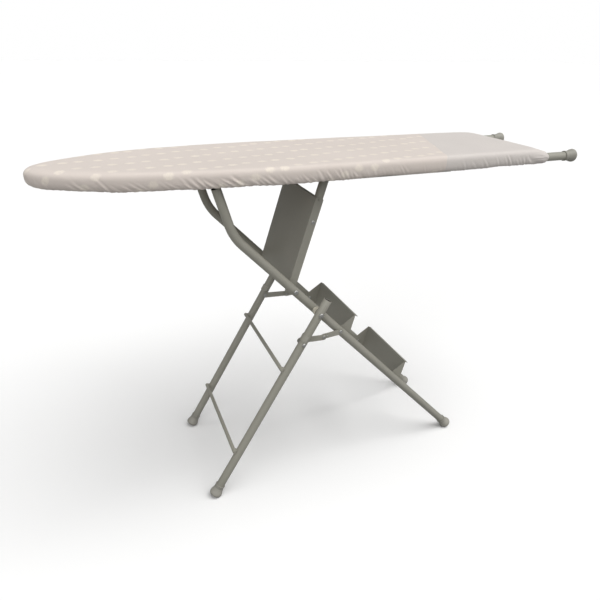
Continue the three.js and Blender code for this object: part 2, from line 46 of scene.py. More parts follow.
LEG_FOOT, LADDER_FOOT, LEG_TOP_S = (0.0, 14.0), (763.5, 16.0), 616.1
LADDER_BEND_T, BEND_R, HINGE_A = 981.8, 130.0, (51.8, 832.0)
PIVOT_P_T, PIVOT_B_T, STRUT_L = 683.9, 763.5, 286.1
BRACE_PQ, BRACE_PR, BRACE_A, BRACE_B = 89.0, 105.0, 67.0, 51.0
TREADS = (("tread_upper", 528.0), ("tread_lower", 269.8))
TREAD_HALF, SHEET = 115.7, 1.5
PLATFORM_S0, PLATFORM_LEN = 6.5, 229.0
BAR_R, BAR_OFFSET = 5.0, 16.3
BARS = (("leg_crossbar_upper", 399.6), ("leg_crossbar_lower", 134.8))
FRAME_Z, TAIL_CAP_X, ROD_R = 860.0, 1003.0, 4.5
OUTLINE = [
    (-330, 0), (-328.7, 10), (-324.5, 22), (-316, 35), (-303, 49), (-284, 64), (-260, 79), (-231, 94.5), (-196, 110.5),
    (-152, 126), (-100, 139), (-45, 149.5), (15, 158), (75, 163.8), (140, 167.5), (220, 169.8), (330, 170.5), (450, 169.8),
    (580, 167.5), (700, 165.2), (800, 163.4), (868, 162.3), (890, 159.5), (905, 153), (915, 143), (920, 130), (922, 112),
    (923, 50), (923, 0),
]  # fmt: skip
SECTION = [(14, 884.5), (9.5, 883.8), (6, 882.2), (3.4, 879.6), (1.5, 876), (0.4, 871.5), (0, 866.5), (0.1, 861), (0.8, 856), (2.4, 851.5), (5, 848), (8.3, 846)]
SIDES = (("near", -1), ("far", 1))


def rad(d):
    return math.radians(d)


def row(p):
    """millimetres from the leg foot to metres in the row frame"""
    p = np.asarray(p, float)
    return (p - np.array([CENTRE_X, 0, 0])) / 1000.0


cL, cA, cS, cU = [(math.cos(rad(a)), math.sin(rad(a))) for a in (LEG_ANGLE, LADDER_ANGLE, STRUT_ANGLE, UPPER_ANGLE)]


def leg_at(s, o=0.0):
    return (LEG_FOOT[0] + s * cL[0] - o * cL[1], LEG_FOOT[1] + s * cL[1] + o * cL[0])


def lad_at(t, o=0.0):
    return (LADDER_FOOT[0] - t * cA[0] + o * cA[1], LADDER_FOOT[1] + t * cA[1] + o * cA[0])


P, B = lad_at(PIVOT_P_T), lad_at(PIVOT_B_T)


def strut_at(s, o=0.0):
    return (B[0] + s * cS[0] - o * cS[1], B[1] + s * cS[1] + o * cS[0])


T = strut_at(STRUT_L)
Q = (P[0] - BRACE_PQ * cL[0], P[1] - BRACE_PQ * cL[1])
R = (P[0] + BRACE_PR * cA[0], P[1] - BRACE_PR * cA[1])


def knee():
    dx, dz = R[0] - Q[0], R[1] - Q[1]
    c = math.hypot(dx, dz)
    x = (BRACE_A**2 - BRACE_B**2 + c * c) / (2 * c)
    y = math.sqrt(BRACE_A**2 - x * x)
    return (Q[0] + (dx / c) * x + (dz / c) * y, Q[1] + (dz / c) * x - (dx / c) * y)


M = knee()


# ---- materials ---------------------------------------------------------------
def lin(r, g, b):
    """0-255 display colour to scene linear"""
    return tuple(((c / 255.0 + 0.055) / 1.055) ** 2.4 if c > 10 else c / 255.0 / 12.92 for c in (r, g, b)) + (1.0,)


class Mat:
    """small helper that writes a procedural node material"""

    def __init__(self, name):
        self.m = bpy.data.materials.new(name)
        self.m.use_nodes = True
        self.t = self.m.node_tree
        self.bsdf = next(n for n in self.t.nodes if n.type == "BSDF_PRINCIPLED")
        self.coord = self.node("ShaderNodeTexCoord")
        self.pos = self.coord.outputs["Object"]

    def node(self, kind, **props):
        n = self.t.nodes.new(kind)
        for k, v in props.items():
            setattr(n, k, v)
        return n

    def link(self, a, b):
        self.t.links.new(a, b)

    def put(self, socket, v):
        if isinstance(v, bpy.types.NodeSocket):
            self.link(v, socket)
        else:
            socket.default_value = v

    def math(self, op, a, b=0.0, c=0.0, clamp=False):
        n = self.node("ShaderNodeMath", operation=op, use_clamp=clamp)
        self.put(n.inputs[0], a)
        self.put(n.inputs[1], b)
        self.put(n.inputs[2], c)
        return n.outputs[0]

    def noise(self, scale, detail=3.0, rough=0.5, vec=None, distortion=0.0, out="Fac"):
        n = self.node("ShaderNodeTexNoise")
        n.inputs["Scale"].default_value = scale
        n.inputs["Detail"].default_value = detail
        n.inputs["Roughness"].default_value = rough
        n.inputs["Distortion"].default_value = distortion
        self.link(vec or self.pos, n.inputs["Vector"])
        return n.outputs[out]

    def stretched(self, scale, vec=None):
        n = self.node("ShaderNodeMapping")
        self.link(vec or self.pos, n.inputs["Vector"])
        n.inputs["Scale"].default_value = scale
        return n.outputs["Vector"]

    def ramp(self, fac, stops):
        n = self.node("ShaderNodeValToRGB")
        self.link(fac, n.inputs["Fac"])
        el = n.color_ramp.elements
        while len(el) > 1:
            el.remove(el[-1])
        el[0].position, el[0].color = stops[0]
        for p, c in stops[1:]:
            e = el.new(p)
            e.color = c
        return n.outputs["Color"]

    def band(self, v, lo, hi, to_lo=0.0, to_hi=1.0):
        n = self.node("ShaderNodeMapRange", interpolation_type="SMOOTHSTEP")
        self.put(n.inputs["Value"], v)
        n.inputs["From Min"].default_value = lo
        n.inputs["From Max"].default_value = hi
        n.inputs["To Min"].default_value = to_lo
        n.inputs["To Max"].default_value = to_hi
        return n.outputs["Result"]

    def mix(self, fac, a, b, mode="MIX"):
        n = self.node("ShaderNodeMix", data_type="RGBA", blend_type=mode)
        self.put(n.inputs[0], fac)
        self.put(n.inputs[6], a)
        self.put(n.inputs[7], b)
        return n.outputs[2]

    def bump(self, height, distance, strength=1.0, normal=None):
        n = self.node("ShaderNodeBump")
        self.link(height, n.inputs["Height"])
        n.inputs["Distance"].default_value = distance
        n.inputs["Strength"].default_value = strength
        if normal is not None:
            self.link(normal, n.inputs["Normal"])
        return n.outputs["Normal"]

    def pointy(self, lo, hi):
        g = self.node("ShaderNodeNewGeometry")
        return self.band(g.outputs["Pointiness"], lo, hi)

    def xyz(self, vec=None):
        n = self.node("ShaderNodeSeparateXYZ")
        self.link(vec or self.pos, n.inputs[0])
        return n.outputs[0], n.outputs[1], n.outputs[2]

    def finish(self, colour=None, rough=None, normal=None, **values):
        if colour is not None:
            self.put(self.bsdf.inputs["Base Color"], colour)
        if rough is not None:
            self.put(self.bsdf.inputs["Roughness"], rough)
        if normal is not None:
            self.link(normal, self.bsdf.inputs["Normal"])
        for k, v in values.items():
            self.bsdf.inputs[k.replace("_", " ")].default_value = v
        return self.m


def painted(name, base, shade=1.0, edges=True):
    m = Mat(name)
    b = [c * shade for c in base[:3]] + [1.0]
    low = m.noise(9.0, 2.0)
    tone = m.ramp(low, [(0.30, (b[0] * 0.965, b[1] * 0.965, b[2] * 0.945, 1)), (0.70, (b[0] * 1.03, b[1] * 1.025, b[2] * 1.02, 1))])
    speck = m.band(m.noise(1900.0, 2.0), 0.60, 0.72)
    c = m.mix(m.math("MULTIPLY", speck, 0.16), tone, (b[0] * 1.45, b[1] * 1.45, b[2] * 1.45, 1))
    rub = m.pointy(0.515, 0.60) if edges else m.band(m.noise(17.0, 3.0), 0.66, 0.80)
    # with edges on, this mask picks concave hollows (pointiness below 0.49) for painted shade there; with edges off it
    # is random dirt patches from noise
    hollow_shade_and_dirt = m.pointy(0.49, 0.42) if edges else m.band(m.noise(11.0, 3.0, 0.6), 0.60, 0.85)
    # worn and rubbed edges, broken up by noise
    worn = m.math("MULTIPLY", rub, m.band(m.noise(70.0, 4.0), 0.42, 0.62))
    c = m.mix(m.math("MULTIPLY", worn, 0.45 if edges else 0.10), c, (0.50, 0.49, 0.46, 1))
    # darkens towards 45% of the paint by that mask, broken up by noise: painted shade in the hollows, and dirt
    darkening = m.math("MULTIPLY", hollow_shade_and_dirt, m.band(m.noise(40.0, 3.0), 0.35, 0.7))
    c = m.mix(m.math("MULTIPLY", darkening, 0.35 if edges else 0.15), c, (b[0] * 0.45, b[1] * 0.44, b[2] * 0.40, 1))
    rough = m.math("ADD", m.math("MULTIPLY", m.noise(260.0, 3.0), 0.16), 0.34)
    rough = m.math("ADD", rough, m.math("MULTIPLY", m.noise(14.0, 2.0), 0.08))
    n = m.bump(m.noise(900.0, 2.0), 0.00008, 0.5)
    n = m.bump(m.noise(30.0, 1.0), 0.0002, 0.10, n)
    return m.finish(c, rough, n, Metallic=0.0, IOR=1.5, Coat_Weight=0.12, Coat_Roughness=0.32)


def plastic(name, base):
    m = Mat(name)
    x, y, z = m.xyz()
    low = m.noise(30.0, 3.0)
    c = m.ramp(low, [(0.3, (base[0] * 0.90, base[1] * 0.90, base[2] * 0.89, 1)), (0.7, (base[0] * 1.07, base[1] * 1.06, base[2] * 1.05, 1))])
    sole = m.math("MULTIPLY", m.band(z, 0.012, 0.0005), m.band(m.noise(160.0, 4.0), 0.30, 0.62))
    c = m.mix(m.math("MULTIPLY", sole, 0.55), c, (base[0] * 0.42, base[1] * 0.40, base[2] * 0.37, 1))
    scuff = m.band(m.noise(420.0, 3.0, vec=m.stretched((1.0, 1.0, 0.2))), 0.63, 0.74)
    c = m.mix(m.math("MULTIPLY", scuff, 0.22), c, (base[0] * 1.35, base[1] * 1.35, base[2] * 1.33, 1))
    rough = m.math("ADD", m.math("MULTIPLY", m.noise(300.0, 3.0), 0.18), 0.44)
    n = m.bump(m.noise(1500.0, 3.0), 0.00010, 0.6)
    return m.finish(c, rough, n, Metallic=0.0, IOR=1.46)


def bright(name):
    m = Mat(name)
    c = m.ramp(m.noise(240.0, 3.0), [(0.3, (0.40, 0.40, 0.39, 1)), (0.7, (0.58, 0.58, 0.56, 1))])
    # darker in concave hollows, down to near black: painted shade
    darkening = m.pointy(0.49, 0.40)
    c = m.mix(m.math("MULTIPLY", darkening, 0.55), c, (0.12, 0.115, 0.10, 1))
    rough = m.math("ADD", m.math("MULTIPLY", m.noise(900.0, 3.0), 0.2), 0.28)
    n = m.bump(m.noise(1300.0, 2.0), 0.00005, 0.5)
    return m.finish(c, rough, n, Metallic=1.0)


def nylon(name):
    m = Mat(name)
    b = lin(205, 200, 186)
    c = m.ramp(m.noise(120.0, 3.0), [(0.3, (b[0] * 0.88, b[1] * 0.88, b[2] * 0.85, 1)), (0.7, b)])
    rough = m.math("ADD", m.math("MULTIPLY", m.noise(700.0, 3.0), 0.15), 0.35)
    n = m.bump(m.noise(1200.0, 2.0), 0.00006, 0.5)
    return m.finish(c, rough, n, Metallic=0.0, IOR=1.53)


def fibreboard(name):
    m = Mat(name)
    long = m.noise(55.0, 6.0, 0.62, vec=m.stretched((0.5, 1.4, 1.0)), distortion=0.7)
    fine = m.noise(700.0, 5.0, 0.7, vec=m.stretched((0.45, 1.0, 1.0)))
    c = m.ramp(long, [(0.28, lin(126, 98, 66)), (0.5, lin(156, 126, 88)), (0.75, lin(176, 148, 108))])
    c = m.mix(m.math("MULTIPLY", m.band(fine, 0.55, 0.72), 0.5), c, lin(108, 80, 50))
    rough = m.math("ADD", m.math("MULTIPLY", fine, 0.2), 0.62)
    n = m.bump(fine, 0.0003, 0.6)
    return m.finish(c, rough, n, Metallic=0.0, IOR=1.4)


def foam(name):
    m = Mat(name)
    v = m.node("ShaderNodeTexVoronoi")
    v.inputs["Scale"].default_value = 620.0
    m.link(m.pos, v.inputs["Vector"])
    c = m.ramp(m.noise(30.0, 3.0), [(0.3, lin(214, 204, 168)), (0.7, lin(232, 224, 194))])
    c = m.mix(m.math("MULTIPLY", m.band(v.outputs["Distance"], 0.25, 0.05), 0.4), c, lin(168, 156, 118))
    n = m.bump(v.outputs["Distance"], 0.0006, 0.6)
    return m.finish(c, m.math("ADD", m.math("MULTIPLY", m.noise(200.0), 0.1), 0.85), n, Metallic=0.0, IOR=1.3)


def elastic(name):
    m = Mat(name)
    w = m.node("ShaderNodeTexWave", bands_direction="DIAGONAL")
    w.inputs["Scale"].default_value = 420.0
    w.inputs["Distortion"].default_value = 1.2
    m.link(m.pos, w.inputs["Vector"])
    c = m.ramp(w.outputs["Fac"], [(0.2, lin(166, 160, 152)), (0.8, lin(222, 218, 211))])
    return m.finish(c, m.math("ADD", m.math("MULTIPLY", m.noise(500.0), 0.15), 0.7), m.bump(w.outputs["Fac"], 0.0003, 0.7), Metallic=0.0, IOR=1.4)


def thread(name):
    m = Mat(name)
    w = m.node("ShaderNodeTexWave", bands_direction="DIAGONAL")
    w.inputs["Scale"].default_value = 1600.0
    m.link(m.pos, w.inputs["Vector"])
    c = m.ramp(w.outputs["Fac"], [(0.2, lin(186, 178, 168)), (0.8, lin(228, 221, 211))])
    return m.finish(c, m.math("ADD", m.math("MULTIPLY", m.noise(900.0), 0.2), 0.6), m.bump(w.outputs["Fac"], 0.0001, 0.6), Metallic=0.0, IOR=1.45)


SEAM_A, SEAM_B = (0.25675, -0.170), (0.38575, 0.170)


def cover_fabric(name):
    """woven cotton: printed with short ivory strokes up to a slanted seam, plain beyond it"""
    m = Mat(name)
    a = m.node("ShaderNodeAttribute", attribute_name="flat")
    flat = a.outputs["Vector"]
    x, y, _ = m.xyz(flat)
    # distance past the seam, the seam running straight down once over the edge
    yc = m.math("MAXIMUM", m.math("MINIMUM", y, 0.172), -0.172)
    k = (SEAM_B[0] - SEAM_A[0]) / (SEAM_B[1] - SEAM_A[1])
    past = m.math("SUBTRACT", m.math("SUBTRACT", x, 0.5 * (SEAM_A[0] + SEAM_B[0])), m.math("MULTIPLY", yc, k))
    plain = m.band(past, -0.0004, 0.0004)
    # strokes: slanted rows, staggered, each with its own jitter
    th = rad(14.0)
    u = m.math("ADD", m.math("MULTIPLY", x, math.cos(th)), m.math("MULTIPLY", y, math.sin(th)))
    w = m.math("SUBTRACT", m.math("MULTIPLY", y, math.cos(th)), m.math("MULTIPLY", x, math.sin(th)))
    wn = m.math("DIVIDE", m.math("ADD", w, 1.012), 0.0665)
    rown = m.math("FLOOR", wn)
    un = m.math("ADD", m.math("DIVIDE", m.math("ADD", u, 2.0), 0.0370), m.math("MULTIPLY", rown, 0.43))
    celln = m.math("FLOOR", un)
    wnz = m.node("ShaderNodeTexWhiteNoise", noise_dimensions="2D")
    cv = m.node("ShaderNodeCombineXYZ")
    m.link(celln, cv.inputs[0])
    m.link(rown, cv.inputs[1])
    m.link(cv.outputs[0], wnz.inputs["Vector"])
    j = m.node("ShaderNodeSeparateColor")
    m.link(wnz.outputs["Color"], j.inputs[0])
    du = m.math("MULTIPLY", m.math("ADD", m.math("SUBTRACT", m.math("FRACT", un), 0.5), m.math("MULTIPLY", m.math("SUBTRACT", j.outputs[0], 0.5), 0.20)), 0.0370)
    dw = m.math("MULTIPLY", m.math("ADD", m.math("SUBTRACT", m.math("FRACT", wn), 0.5), m.math("MULTIPLY", m.math("SUBTRACT", j.outputs[1], 0.5), 0.18)), 0.0665)
    lean = rad(12.0)
    pa = m.math("SUBTRACT", m.math("MULTIPLY", du, math.cos(lean)), m.math("MULTIPLY", dw, math.sin(lean)))
    pb = m.math("ADD", m.math("MULTIPLY", du, math.sin(lean)), m.math("MULTIPLY", dw, math.cos(lean)))
    warp = m.math("MULTIPLY", m.math("SUBTRACT", m.noise(170.0, 3.0, vec=flat), 0.5), 0.8)
    e = m.math("SQRT", m.math("ADD", m.math("POWER", m.math("DIVIDE", pa, 0.0112), 2.0), m.math("POWER", m.math("DIVIDE", pb, 0.0088), 2.0)))
    e = m.math("ADD", e, warp)
    stroke = m.band(e, 1.20, 0.62)
    # dry-brush streaks inside each stroke
    rot = m.node("ShaderNodeCombineXYZ")
    m.link(m.math("MULTIPLY", pa, 900.0), rot.inputs[0])
    m.link(m.math("MULTIPLY", pb, 90.0), rot.inputs[1])
    m.link(m.math("ADD", celln, m.math("MULTIPLY", rown, 7.0)), rot.inputs[2])
    streak = m.band(m.noise(1.0, 2.0, vec=rot.outputs[0]), 0.30, 0.55, 0.35, 1.0)
    stroke = m.math("MULTIPLY", stroke, streak)
    ground = m.ramp(m.noise(5.0, 2.0, vec=flat), [(0.3, lin(*PRINT_GROUND_A)), (0.7, lin(*PRINT_GROUND_B))])
    printed = m.mix(m.math("MULTIPLY", stroke, m.math("ADD", m.math("MULTIPLY", j.outputs[2], 0.30), 0.70)), ground, lin(*PRINT_STROKE))
    grey = m.ramp(m.noise(6.0, 2.0, vec=flat), [(0.3, lin(*PLAIN_A)), (0.7, lin(*PLAIN_B))])
    c = m.mix(plain, printed, grey)
    # plain weave: two crossed thread sets, at about 0.55 mm
    pitch = 2 * math.pi / 0.00110
    ww = m.math("SINE", m.math("MULTIPLY", m.math("ADD", x, m.math("MULTIPLY", m.noise(60.0, 1.0, vec=flat), 0.0006)), pitch))
    hh = m.math("SINE", m.math("MULTIPLY", m.math("ADD", y, m.math("MULTIPLY", m.noise(61.0, 1.0, vec=flat), 0.0006)), pitch))
    weave = m.math("ADD", m.math("MULTIPLY", m.math("MULTIPLY", ww, hh), 0.5), 0.5)
    slub = m.band(m.noise(1.0, 2.0, vec=m.stretched((40.0, 1500.0, 1.0), flat)), 0.56, 0.72)
    slub2 = m.band(m.noise(1.0, 2.0, vec=m.stretched((1500.0, 40.0, 1.0), flat)), 0.56, 0.72)
    c = m.mix(m.math("MULTIPLY", weave, 0.16), c, (0.42, 0.39, 0.36, 1))
    c = m.mix(m.math("MULTIPLY", m.math("MAXIMUM", slub, slub2), 0.10), c, (0.95, 0.93, 0.90, 1))
    # needle line of the seam, 3 mm past it
    line = m.band(m.math("ABSOLUTE", m.math("SUBTRACT", past, 0.003)), 0.0007, 0.0003)
    c = m.mix(m.math("MULTIPLY", line, 0.16), c, lin(150, 142, 134))
    n = m.bump(weave, 0.00022, 0.45)
    n = m.bump(m.math("ADD", slub, slub2), 0.0001, 0.35, n)
    n = m.bump(m.noise(38.0, 4.0, 0.55, vec=flat), 0.0009, 0.35, n)
    rough = m.math("ADD", m.math("MULTIPLY", weave, 0.10), 0.78)
    return m.finish(c, rough, n, Metallic=0.0, IOR=1.42, Sheen_Weight=0.18, Sheen_Roughness=0.5)


PAINT = lin(157, 155, 145)
PRINT_GROUND_A, PRINT_GROUND_B = (220, 209, 201), (225, 214, 206)
PRINT_STROKE = (243, 233, 220)
PLAIN_A, PLAIN_B = (215, 208, 203), (219, 212, 207)

MAT_PAINT = painted("paint_greige", PAINT)
# the sheet parts get the same greige paint made 6% darker: painted shade for the treads and platform, which sit under
# the board
MAT_SHEET_SHADED = painted("paint_greige_sheet_shaded", PAINT, 0.94, edges=False)
# inner wall of the tubes: unpainted steel, coloured dark as painted shade inside the open tube ends
MAT_BORE_SHADED = painted("bare_bore_shaded", lin(74, 71, 66))
MAT_FEET = plastic("plastic_feet", lin(158, 156, 148))
MAT_BRIGHT = bright("zinc_bright")
MAT_NYLON = nylon("nylon_spacer")
MAT_PANEL = fibreboard("hardboard")
MAT_FOAM = foam("foam_open_cell")
MAT_ELASTIC = elastic("braided_elastic")
MAT_COVER = cover_fabric("cover_cotton")
MAT_THREAD = thread("sewing_thread")


# ---- mesh helpers --------------------------------------------------------------
def make(name, verts, faces, mat, body, nodes=(), angle=38.0, mats=None, face_mat=None):
    """verts in millimetres from the leg foot"""
    me = bpy.data.meshes.new(name)
    me.from_pydata([tuple(v) for v in row(verts)], [], [tuple(int(i) for i in f) for f in faces])
    bm = bmesh.new()
    bm.from_mesh(me)
    bmesh.ops.recalc_face_normals(bm, faces=bm.faces)
    bm.to_mesh(me)
    bm.free()
    return wrap(name, me, mat, body, nodes, angle, mats, face_mat)


def wrap(name, me, mat, body, nodes=(), angle=38.0, mats=None, face_mat=None):
    for k in mats or [mat]:
        me.materials.append(k)
    if face_mat is not None:
        me.polygons.foreach_set("material_index", face_mat)
    me.polygons.foreach_set("use_smooth", [True] * len(me.polygons))
    me.set_sharp_from_angle(angle=rad(angle))
    o = bpy.data.objects.new(name, me)
    bpy.context.scene.collection.objects.link(o)
    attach(o, body)
    if nodes:
        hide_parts(*nodes)
    return o


def ring_frame(pts, N):
    pts = [np.asarray(p, float) for p in pts]
    N = np.asarray(N, float)
    out = []
    for i, p in enumerate(pts):
        t0 = pts[i] - pts[i - 1] if i > 0 else None
        t1 = pts[i + 1] - pts[i] if i < len(pts) - 1 else None
        t0 = t0 / np.linalg.norm(t0) if t0 is not None else t1 / np.linalg.norm(t1)
        t1 = t1 / np.linalg.norm(t1) if t1 is not None else t0
        t = t0 + t1
        t /= np.linalg.norm(t)
        b = np.cross(t, N)
        out.append((p, t, b / np.linalg.norm(b)))
    return out


def tube(name, pts, N, r, mat, body, nodes=(), wall=TUBE_WALL, n=40):
    """drawn tube with softened rims, open at both ends"""
    fr, N = ring_frame(pts, N), np.asarray(N, float)
    rings = []
    e = 0.35
    ri = r - wall
    s, t = fr[0], fr[-1]

    def put(f, off, rr):
        rings.append((f[0] + f[1] * off, f[2], rr))

    put(s, e, ri)
    put(s, 0.1, ri + 0.12)
    put(s, 0.0, ri + e)
    put(s, 0.0, r - e)
    put(s, 0.1, r - 0.12)
    put(s, e, r)
    for f in fr[1:-1]:
        put(f, 0.0, r)
    put(t, -e, r)
    put(t, -0.1, r - 0.12)
    put(t, 0.0, r - e)
    put(t, 0.0, ri + e)
    put(t, -0.1, ri + 0.12)
    put(t, -e, ri)
    for f in reversed(fr[1:-1]):
        put(f, 0.0, ri)
    ang = 2 * np.pi * np.arange(n) / n
    v = np.concatenate([p + rr * (np.cos(ang)[:, None] * N + np.sin(ang)[:, None] * b) for p, b, rr in rings])
    m, f = len(rings), []
    for i in range(m):
        for j in range(n):
            k = (j + 1) % n
            f.append((i * n + j, i * n + k, ((i + 1) % m) * n + k, ((i + 1) % m) * n + j))
    bore = 9 + len(fr)  # the faces from here on are the unpainted inner wall, coloured dark as painted shade inside the tube
    return make(name, v, f, mat, body, nodes, 50.0, [mat, MAT_BORE_SHADED], [1 if i >= bore else 0 for i in range(m) for _ in range(n)])


def lathe_data(profile, origin, direction, n=40):
    d = np.asarray(direction, float)
    d = d / np.linalg.norm(d)
    u = np.array([1.0, 0, 0]) if abs(d[1]) > 0.9 else np.array([0, 1.0, 0])
    w = np.cross(d, u)
    w /= np.linalg.norm(w)
    e = np.cross(w, d)
    v, rows_ = [], []
    ang = 2 * np.pi * np.arange(n) / n
    for r, s in profile:
        c = np.asarray(origin, float) + d * s
        if r < 1e-6:
            rows_.append([len(v)])
            v.append(c)
        else:
            rows_.append(list(range(len(v), len(v) + n)))
            v.extend(c + r * (np.cos(ang)[:, None] * e + np.sin(ang)[:, None] * w))
    f = []
    closed = profile[0][0] > 1e-6
    for i in range(len(rows_) if closed else len(rows_) - 1):
        a, b = rows_[i], rows_[(i + 1) % len(rows_)]
        if len(a) == 1 and len(b) == 1:
            continue
        for j in range(n):
            k = (j + 1) % n
            if len(a) == 1:
                f.append((a[0], b[j], b[k]))
            elif len(b) == 1:
                f.append((a[j], b[0], a[k]))
            else:
                f.append((a[j], b[j], b[k], a[k]))
    return np.array(v), f


def soften(profile, r=0.35, keep=()):
    """rounds the corners of a lathe profile with a small fillet"""
    out = []
    m = len(profile)
    closed = profile[0][0] > 1e-6
    for i, p in enumerate(profile):
        p = np.array(p, float)
        if not closed and i in (0, m - 1) or i in keep:
            out.append(tuple(p))
            continue
        a, b = np.array(profile[(i - 1) % m], float), np.array(profile[(i + 1) % m], float)
        la, lb = np.linalg.norm(a - p), np.linalg.norm(b - p)
        if min(la, lb) < 1e-6:
            out.append(tuple(p))
            continue
        c = np.dot((a - p) / la, (b - p) / lb)
        if c < -0.985:
            out.append(tuple(p))
            continue
        q = min(r, la * 0.45, lb * 0.45)
        p0, p1 = p + (a - p) / la * q, p + (b - p) / lb * q
        for t in (0.0, 0.5, 1.0):
            out.append(tuple((1 - t) ** 2 * p0 + 2 * t * (1 - t) * p + t * t * p1))
    return out


def lathe(name, profile, origin, direction, mat, body, nodes=(), n=40, fillet=0.3, angle=40.0):
    v, f = lathe_data(soften(profile, fillet) if fillet else profile, origin, direction, n)
    return make(name, v, f, mat, body, nodes, angle)


def turned(name, profile, x, z, sg, mat, body, nodes=(), slot=None, n=36, fillet=0.25):
    return lathe(name, profile, (x, 0, z), (0, sg, 0), mat, body, nodes, n, fillet)


def rod(name, pts, N, r, mat, body, nodes=(), n=28, end=1.0):
    """solid bar with rounded ends"""
    fr, N = ring_frame(pts, N), np.asarray(N, float)
    s, t = fr[0], fr[-1]
    seq = [(s[0] + s[1] * (end - end * math.cos(a)), s[2], r - end + end * math.sin(a)) for a in (0.0, 0.5, 1.0, 1.3)]
    seq += [(s[0] + s[1] * end, s[2], r)] + [(f[0], f[2], r) for f in fr[1:-1]] + [(t[0] - t[1] * end, t[2], r)]
    seq += [(t[0] - t[1] * (end - end * math.cos(a)), t[2], r - end + end * math.sin(a)) for a in (1.3, 1.0, 0.5, 0.0)]
    ang = 2 * np.pi * np.arange(n) / n
    v = [p + rr * (np.cos(ang)[:, None] * N + np.sin(ang)[:, None] * b) for p, b, rr in seq]
    v = np.concatenate(v + [np.array([s[0], t[0]])])
    m, f = len(seq), []
    for i in range(m - 1):
        for j in range(n):
            k = (j + 1) % n
            f.append((i * n + j, i * n + k, (i + 1) * n + k, (i + 1) * n + j))
    for j in range(n):
        k = (j + 1) % n
        f.append((m * n, k, j))
        f.append((m * n + 1, (m - 1) * n + j, (m - 1) * n + k))
    return make(name, v, f, mat, body, nodes, 50.0)


def refined(name, node, mat, body, bevel=0.4, fold=1.5, mats=None, pick=None):
    """the CAD sheet-metal part with its edges broken and its folds given a bend radius"""
    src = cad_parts[node].data
    bm = bmesh.new()
    bm.from_mesh(src)
    bmesh.ops.remove_doubles(bm, verts=bm.verts, dist=2e-6)
    bmesh.ops.dissolve_limit(bm, angle_limit=rad(1.0), verts=bm.verts, edges=bm.edges, delimit=set())
    bm.normal_update()

    def width(face, edge):
        d = (edge.verts[1].co - edge.verts[0].co).normalized()
        side = face.normal.cross(d)
        a = edge.verts[0].co
        return max(abs((v.co - a).dot(side)) for v in face.verts)

    folds, plain = [], []
    for e in bm.edges:
        if len(e.link_faces) != 2 or e.calc_face_angle(0.0) < rad(28):
            continue
        long = e.calc_length() > 0.03
        if fold and long and min(width(f, e) for f in e.link_faces) > 0.006:
            folds.append(e)
        else:
            plain.append(e)
    if folds:
        bmesh.ops.bevel(bm, geom=folds, offset=fold / 1000.0, segments=3, profile=0.5, affect="EDGES", clamp_overlap=True)
    sharp = [e for e in bm.edges if len(e.link_faces) == 2 and e.calc_face_angle(0.0) >= rad(28)]
    if sharp and bevel:
        bmesh.ops.bevel(bm, geom=sharp, offset=bevel / 1000.0, segments=2, profile=0.5, affect="EDGES", clamp_overlap=True)
    bmesh.ops.triangulate(bm, faces=[f for f in bm.faces if len(f.verts) > 4])
    me = bpy.data.meshes.new(name)
    bm.to_mesh(me)
    bm.free()
    me.materials.clear()
    face_mat = None
    if pick is not None:
        face_mat = [pick(np.array(p.center)) for p in me.polygons]
    o = wrap(name, me, mat, body, (node,), 32.0, mats, face_mat)
    even = o.modifiers.new("even_shading", "WEIGHTED_NORMAL")
    even.keep_sharp = True
    even.weight = 90
    return o


def arc_bend():
    """the steeper turn at the top of the ladder tube"""
    turn = rad(UPPER_ANGLE - LADDER_ANGLE)
    cut = BEND_R * math.tan(turn / 2)
    s = lad_at(LADDER_BEND_T - cut)
    c = (s[0] + BEND_R * cA[1], s[1] + BEND_R * cA[0])
    pts = []
    for i in range(17):
        f = rad(180 + (90 - LADDER_ANGLE)) - turn * i / 16
        pts.append((c[0] + BEND_R * math.cos(f), c[1] + BEND_R * math.sin(f)))
    return pts


CAP = [(13.2, 0), (13.2, 4), (12.7, 5), (12.7, 10), (13.6, 15), (16.4, 24), (16.8, 29), (15.6, 32.6), (12.2, 34.8), (0, 36)]
CAP_BORE = 18.0


def cap_start(sin, cos):
    return max(s * sin + r * cos for r, s in CAP) - 1.1


def smooth_curve(pts, n):
    """points along a Catmull-Rom curve through pts, evenly spaced"""
    p = np.asarray(pts, float)
    q = np.vstack([2 * p[0] - p[1], p, 2 * p[-1] - p[-2]])
    out = []
    for i in range(1, len(q) - 2):
        t = np.linspace(0, 1, 24, endpoint=False)[:, None]
        a, b, c, d = q[i - 1], q[i], q[i + 1], q[i + 2]
        out.append(0.5 * (2 * b + (c - a) * t + (2 * a - 5 * b + 4 * c - d) * t**2 + (3 * b - a - 3 * c + d) * t**3))
    out = np.vstack(out + [p[-1:]])
    s = np.concatenate([[0], np.cumsum(np.linalg.norm(np.diff(out, axis=0), axis=1))])
    w = np.linspace(0, s[-1], n)
    return np.stack([np.interp(w, s, out[:, k]) for k in range(out.shape[1])], 1)


def cap(name, origin, direction, body, node):
    """moulded foot cap: sleeve, two thin grooves, flare and domed end"""
    outer = [(11.3, 0.25), (11.55, 0.0), (12.9, 0.0), (13.2, 0.3), (13.2, 3.7), (12.95, 4.2), (12.7, 5.0), (12.7, 9.2), (12.45, 9.5),
             (12.45, 10.1), (12.85, 10.5)]
    flare = smooth_curve([(12.85, 10.5), (13.6, 15), (14.9, 19.6), (16.2, 23.4), (16.8, 27.2), (16.7, 29.6), (15.6, 32.6), (12.9, 34.5), (9.0, 35.5), (4.5, 35.9)], 26)
    outer += [tuple(p) for p in flare[1:]]
    profile = [(0, CAP_BORE), (TUBE_R + 0.25, CAP_BORE), (TUBE_R + 0.25, 0.25)] + outer + [(0, 36.0)]
    v, f = lathe_data(profile, origin, direction, 56)
    v[:, 2] = np.maximum(v[:, 2], 0.0)
    return make(name, v, f, MAT_FEET, body, (node,), 42.0)


